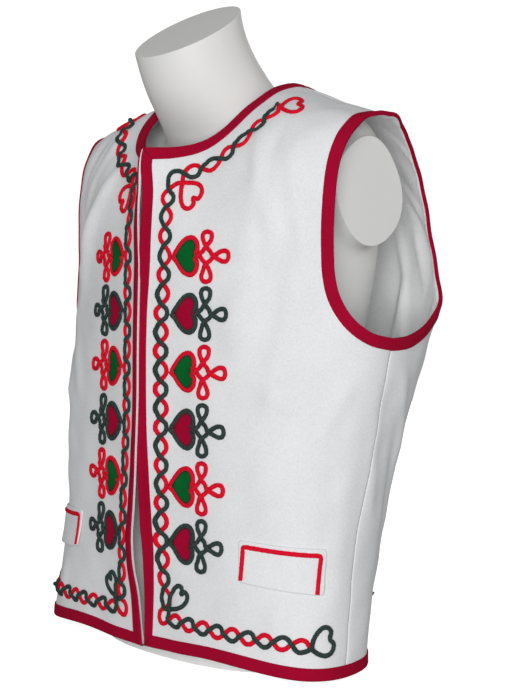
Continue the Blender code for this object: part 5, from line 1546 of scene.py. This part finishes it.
# level sections of the torso
FORM = table(
    "height half_width middle_y half_depth",
    (-0.060, 0.160, -0.100, 0.082),
    (0.060, 0.162, -0.096, 0.088),
    (0.190, 0.152, -0.080, 0.092),
    (0.320, 0.162, -0.056, 0.112),
    (0.420, 0.168, -0.040, 0.126),
    (0.490, 0.176, -0.033, 0.118),
    (0.540, 0.186, -0.031, 0.096),
    (0.5787, 0.188, -0.031, 0.070),
    (0.5987, 0.176, -0.032, 0.050),
    (0.6137, 0.150, -0.033, 0.040),
    (0.6257, 0.118, -0.034, 0.034),
    (0.6337, 0.088, -0.035, 0.028),
)
# neck: point on its axis (y, height), half width, half depth
NECK = (
    (-0.038, 0.545, 0.104, 0.074),
    (-0.060, 0.590, 0.086, 0.074),
    (-0.089, 0.625, 0.073, 0.071),
    (-0.112, 0.652, 0.067, 0.068),
    (-0.127, 0.678, 0.065, 0.067),
    (-0.134, 0.702, 0.066, 0.068),
    (-0.141, 0.730, 0.067, 0.069),
    (-0.152, 0.775, 0.068, 0.070),
)
NECK_RIM = (-0.134, 0.702)
NECK_TILT = 0.5515        # the neck is cut square to this lean
STUMP_MIDDLE = (-0.036, 0.514)
STUMP_HALF = (0.060, 0.055)
STUMP_TURN = 0.60
# Rings of an arm stump: distance from the middle, share of the stump's size.
STUMP_RINGS = ((0.090, 1.10), (0.130, 1.10), (0.165, 1.04), (0.200, 1.0), (0.235, 0.97))
STUMP_SQUARE = 0.86       # 1 would be an ellipse; less is a rounded square
TORSO_SQUARE = 2.3        # 2 would be an ellipse; more is a rounded square
NECK_FROM = 0.56          # here the neck starts to lean
NECK_LEANS_OVER = 0.11


# %% Form parts
def ring_stack(rings):
    """A closed solid from level rings of equally many points."""
    count = len(rings[0])
    points = [p for r in rings for p in r]
    polygons = []
    last = (len(rings) - 1) * count
    for first in range(0, last, count):
        for i in range(count):
            j = (i + 1) % count
            polygons.append((first + i, first + j, first + count + j, first + count + i))
    polygons.append(tuple(range(count))[::-1])
    polygons.append(tuple(range(last, last + count)))
    return points, polygons


def form_parts():
    """The torso, the neck and the two arm stumps, as rough solids that overlap."""
    around = np.linspace(0, 2 * pi, 40, endpoint=False)
    torso = []
    for height in np.concatenate([np.linspace(-0.06, 0.56, 24), np.linspace(0.5787, 0.6337, 8)]):
        half_width, middle, depth = [column(FORM, name, height) for name in list(FORM)[1:]]
        c, s = np.cos(around), np.sin(around)
        reach = (np.abs(c) ** TORSO_SQUARE + np.abs(s) ** TORSO_SQUARE) ** (-1 / TORSO_SQUARE)
        torso.append([(half_width * q * x, middle + depth * q * y, height)
                      for x, y, q in zip(c, s, reach)])
    yield ring_stack(torso)
    neck = []
    for y, height, half_width, depth in NECK:
        tilt = NECK_TILT * np.clip((height - NECK_FROM) / NECK_LEANS_OVER, 0, 1)
        away = np.array([0.0, cos(tilt), sin(tilt)])
        centre = np.array([0.0, y, height])
        neck.append([centre + np.array([1.0, 0, 0]) * half_width * cos(t) + away * depth * sin(t)
                     for t in around])
    yield ring_stack(neck)
    for sign in (-1, 1):
        stump = []
        for x, big in STUMP_RINGS:
            row = []
            for t in around:
                u = STUMP_HALF[1] * big * copysign(abs(cos(t)) ** STUMP_SQUARE, cos(t))
                v = STUMP_HALF[0] * big * copysign(abs(sin(t)) ** STUMP_SQUARE, sin(t))
                row.append((
                    sign * x,
                    STUMP_MIDDLE[0] + u * cos(STUMP_TURN) - v * sin(STUMP_TURN),
                    STUMP_MIDDLE[1] + u * sin(STUMP_TURN) + v * cos(STUMP_TURN),
                ))
            stump.append(row)
        yield ring_stack(stump)


# %% Moulded form
def painted(name, light, shade, roughness):
    """Satin paint over a moulded shell: slight clouds, fine orange peel, a few rubs."""
    found, nodes, links, shader = shader_material(name, light, roughness)
    place = nodes.new("ShaderNodeTexCoord")
    clouds = noise(nodes, links, place, 9.0, 4.0)
    tint = ramp(nodes, links, clouds.outputs["Fac"], ((0.35, shade), (0.65, light)))
    links.new(tint.outputs["Color"], shader.inputs["Base Color"])
    peel = noise(nodes, links, place, 260.0, 2.0, 0.5)
    links.new(bump(nodes, links, peel.outputs["Fac"], 0.0002, 0.12), shader.inputs["Normal"])
    rub = noise(nodes, links, place, 35.0, 5.0)
    duller = ((0.3, (roughness - 0.06,) * 3), (0.7, (roughness + 0.06,) * 3))
    gloss = ramp(nodes, links, rub.outputs["Fac"], duller)
    links.new(gloss.outputs["Color"], shader.inputs["Roughness"])
    return found


FORM_PAINT = painted("form_paint", (0.840, 0.840, 0.825), (0.820, 0.820, 0.805), 0.55)
BASE_PAINT = painted("base_paint", (0.93, 0.93, 0.92), (0.92, 0.92, 0.91), 0.6)
VOXEL = 0.004
SOFT = 0.6                # strength of the smoothing that melts the parts together
SOFT_ROUNDS = 56
RIM_ROUND = 0.0016        # radius of the cut rims


def build_form():
    """The parts melted into one shell, cut flat at the base, the arms and the neck."""
    joined = bmesh.new()
    for points, polygons in form_parts():
        verts = [joined.verts.new(tuple(map(float, p))) for p in points]
        for f in polygons:
            joined.faces.new([verts[i] for i in f])
    bmesh.ops.recalc_face_normals(joined, faces=joined.faces)
    mesh = bpy.data.meshes.new("form_rough")
    joined.to_mesh(mesh)
    joined.free()
    rough = link(bpy.data.objects.new("form_rough", mesh))
    whole = rough.modifiers.new("whole", "REMESH")
    whole.mode = "VOXEL"
    whole.voxel_size = VOXEL
    soft = rough.modifiers.new("soft", "SMOOTH")
    soft.factor = SOFT
    soft.iterations = SOFT_ROUNDS
    graph = bpy.context.evaluated_depsgraph_get()
    smoothed = bpy.data.meshes.new_from_object(rough.evaluated_get(graph))
    bpy.data.objects.remove(rough, do_unlink=True)
    bm = bmesh.new()
    bm.from_mesh(smoothed)
    lean = (0, -sin(NECK_TILT), cos(NECK_TILT))
    cuts = (((0, 0, FORM_BASE - HEM_LIFT + GAP), (0, 0, -1)), ((STUMP_X, 0, 0), (1, 0, 0)),
            ((-STUMP_X, 0, 0), (-1, 0, 0)), ((0, *NECK_RIM), lean))
    for place, way in cuts:
        everything = bm.verts[:] + bm.edges[:] + bm.faces[:]
        done = bmesh.ops.bisect_plane(bm, geom=everything, dist=1e-6, plane_co=Vector(place),
                                      plane_no=Vector(way), clear_outer=True)
        rim = [e for e in done["geom_cut"] if isinstance(e, bmesh.types.BMEdge)]
        bmesh.ops.contextual_create(bm, geom=rim)
    bmesh.ops.remove_doubles(bm, verts=bm.verts, dist=0.0003)
    bmesh.ops.recalc_face_normals(bm, faces=bm.faces)
    bmesh.ops.translate(bm, verts=bm.verts, vec=Vector(SHIFT))
    mesh = bpy.data.meshes.new("form_torso_shell")
    bm.to_mesh(mesh)
    bm.free()
    form = finished("form_shell_fine", mesh, FORM_PAINT)
    rim = form.modifiers.new("cut_rims", "BEVEL")
    rim.width = RIM_ROUND
    rim.segments = 3
    rim.limit_method = "ANGLE"
    rim.angle_limit = radians(50)
    rim.harden_normals = True
    return stands_for(form, "form_torso", "form_shell")


form = build_form()
print("form:", len(form.data.polygons), "faces")
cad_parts["form_base"].material_slots[0].material = BASE_PAINT

# %% [markdown]
# ## What each piece of cloth was cut to
# The front's length and the back's width and length are measured on the skin. The fronts,
# the back, the linings and the braid were cut flat and sewn; worn, they are hung from
# the shoulders of the form.


# %% Sheets
WIDE_AT = 0.335           # height at which the back is widest
BACK_LOW = -0.01          # pattern b of the back's hem in the middle


def length_up(a, low):
    """Length on the skin from a low b up to the shoulder, at one pattern a."""
    line = skin(np.full(200, a), np.linspace(low, RIDGE, 200))
    return float(np.linalg.norm(np.diff(line, axis=0), axis=1).sum())


front_long = length_up(neck_front[0, 0], 0.0)
back_wide = 2 * (float(girth(WIDE_AT)[0, -1]) - float(side_seam[-1, 0]))
back_long = length_up(neck_back[-1, 0], BACK_LOW)
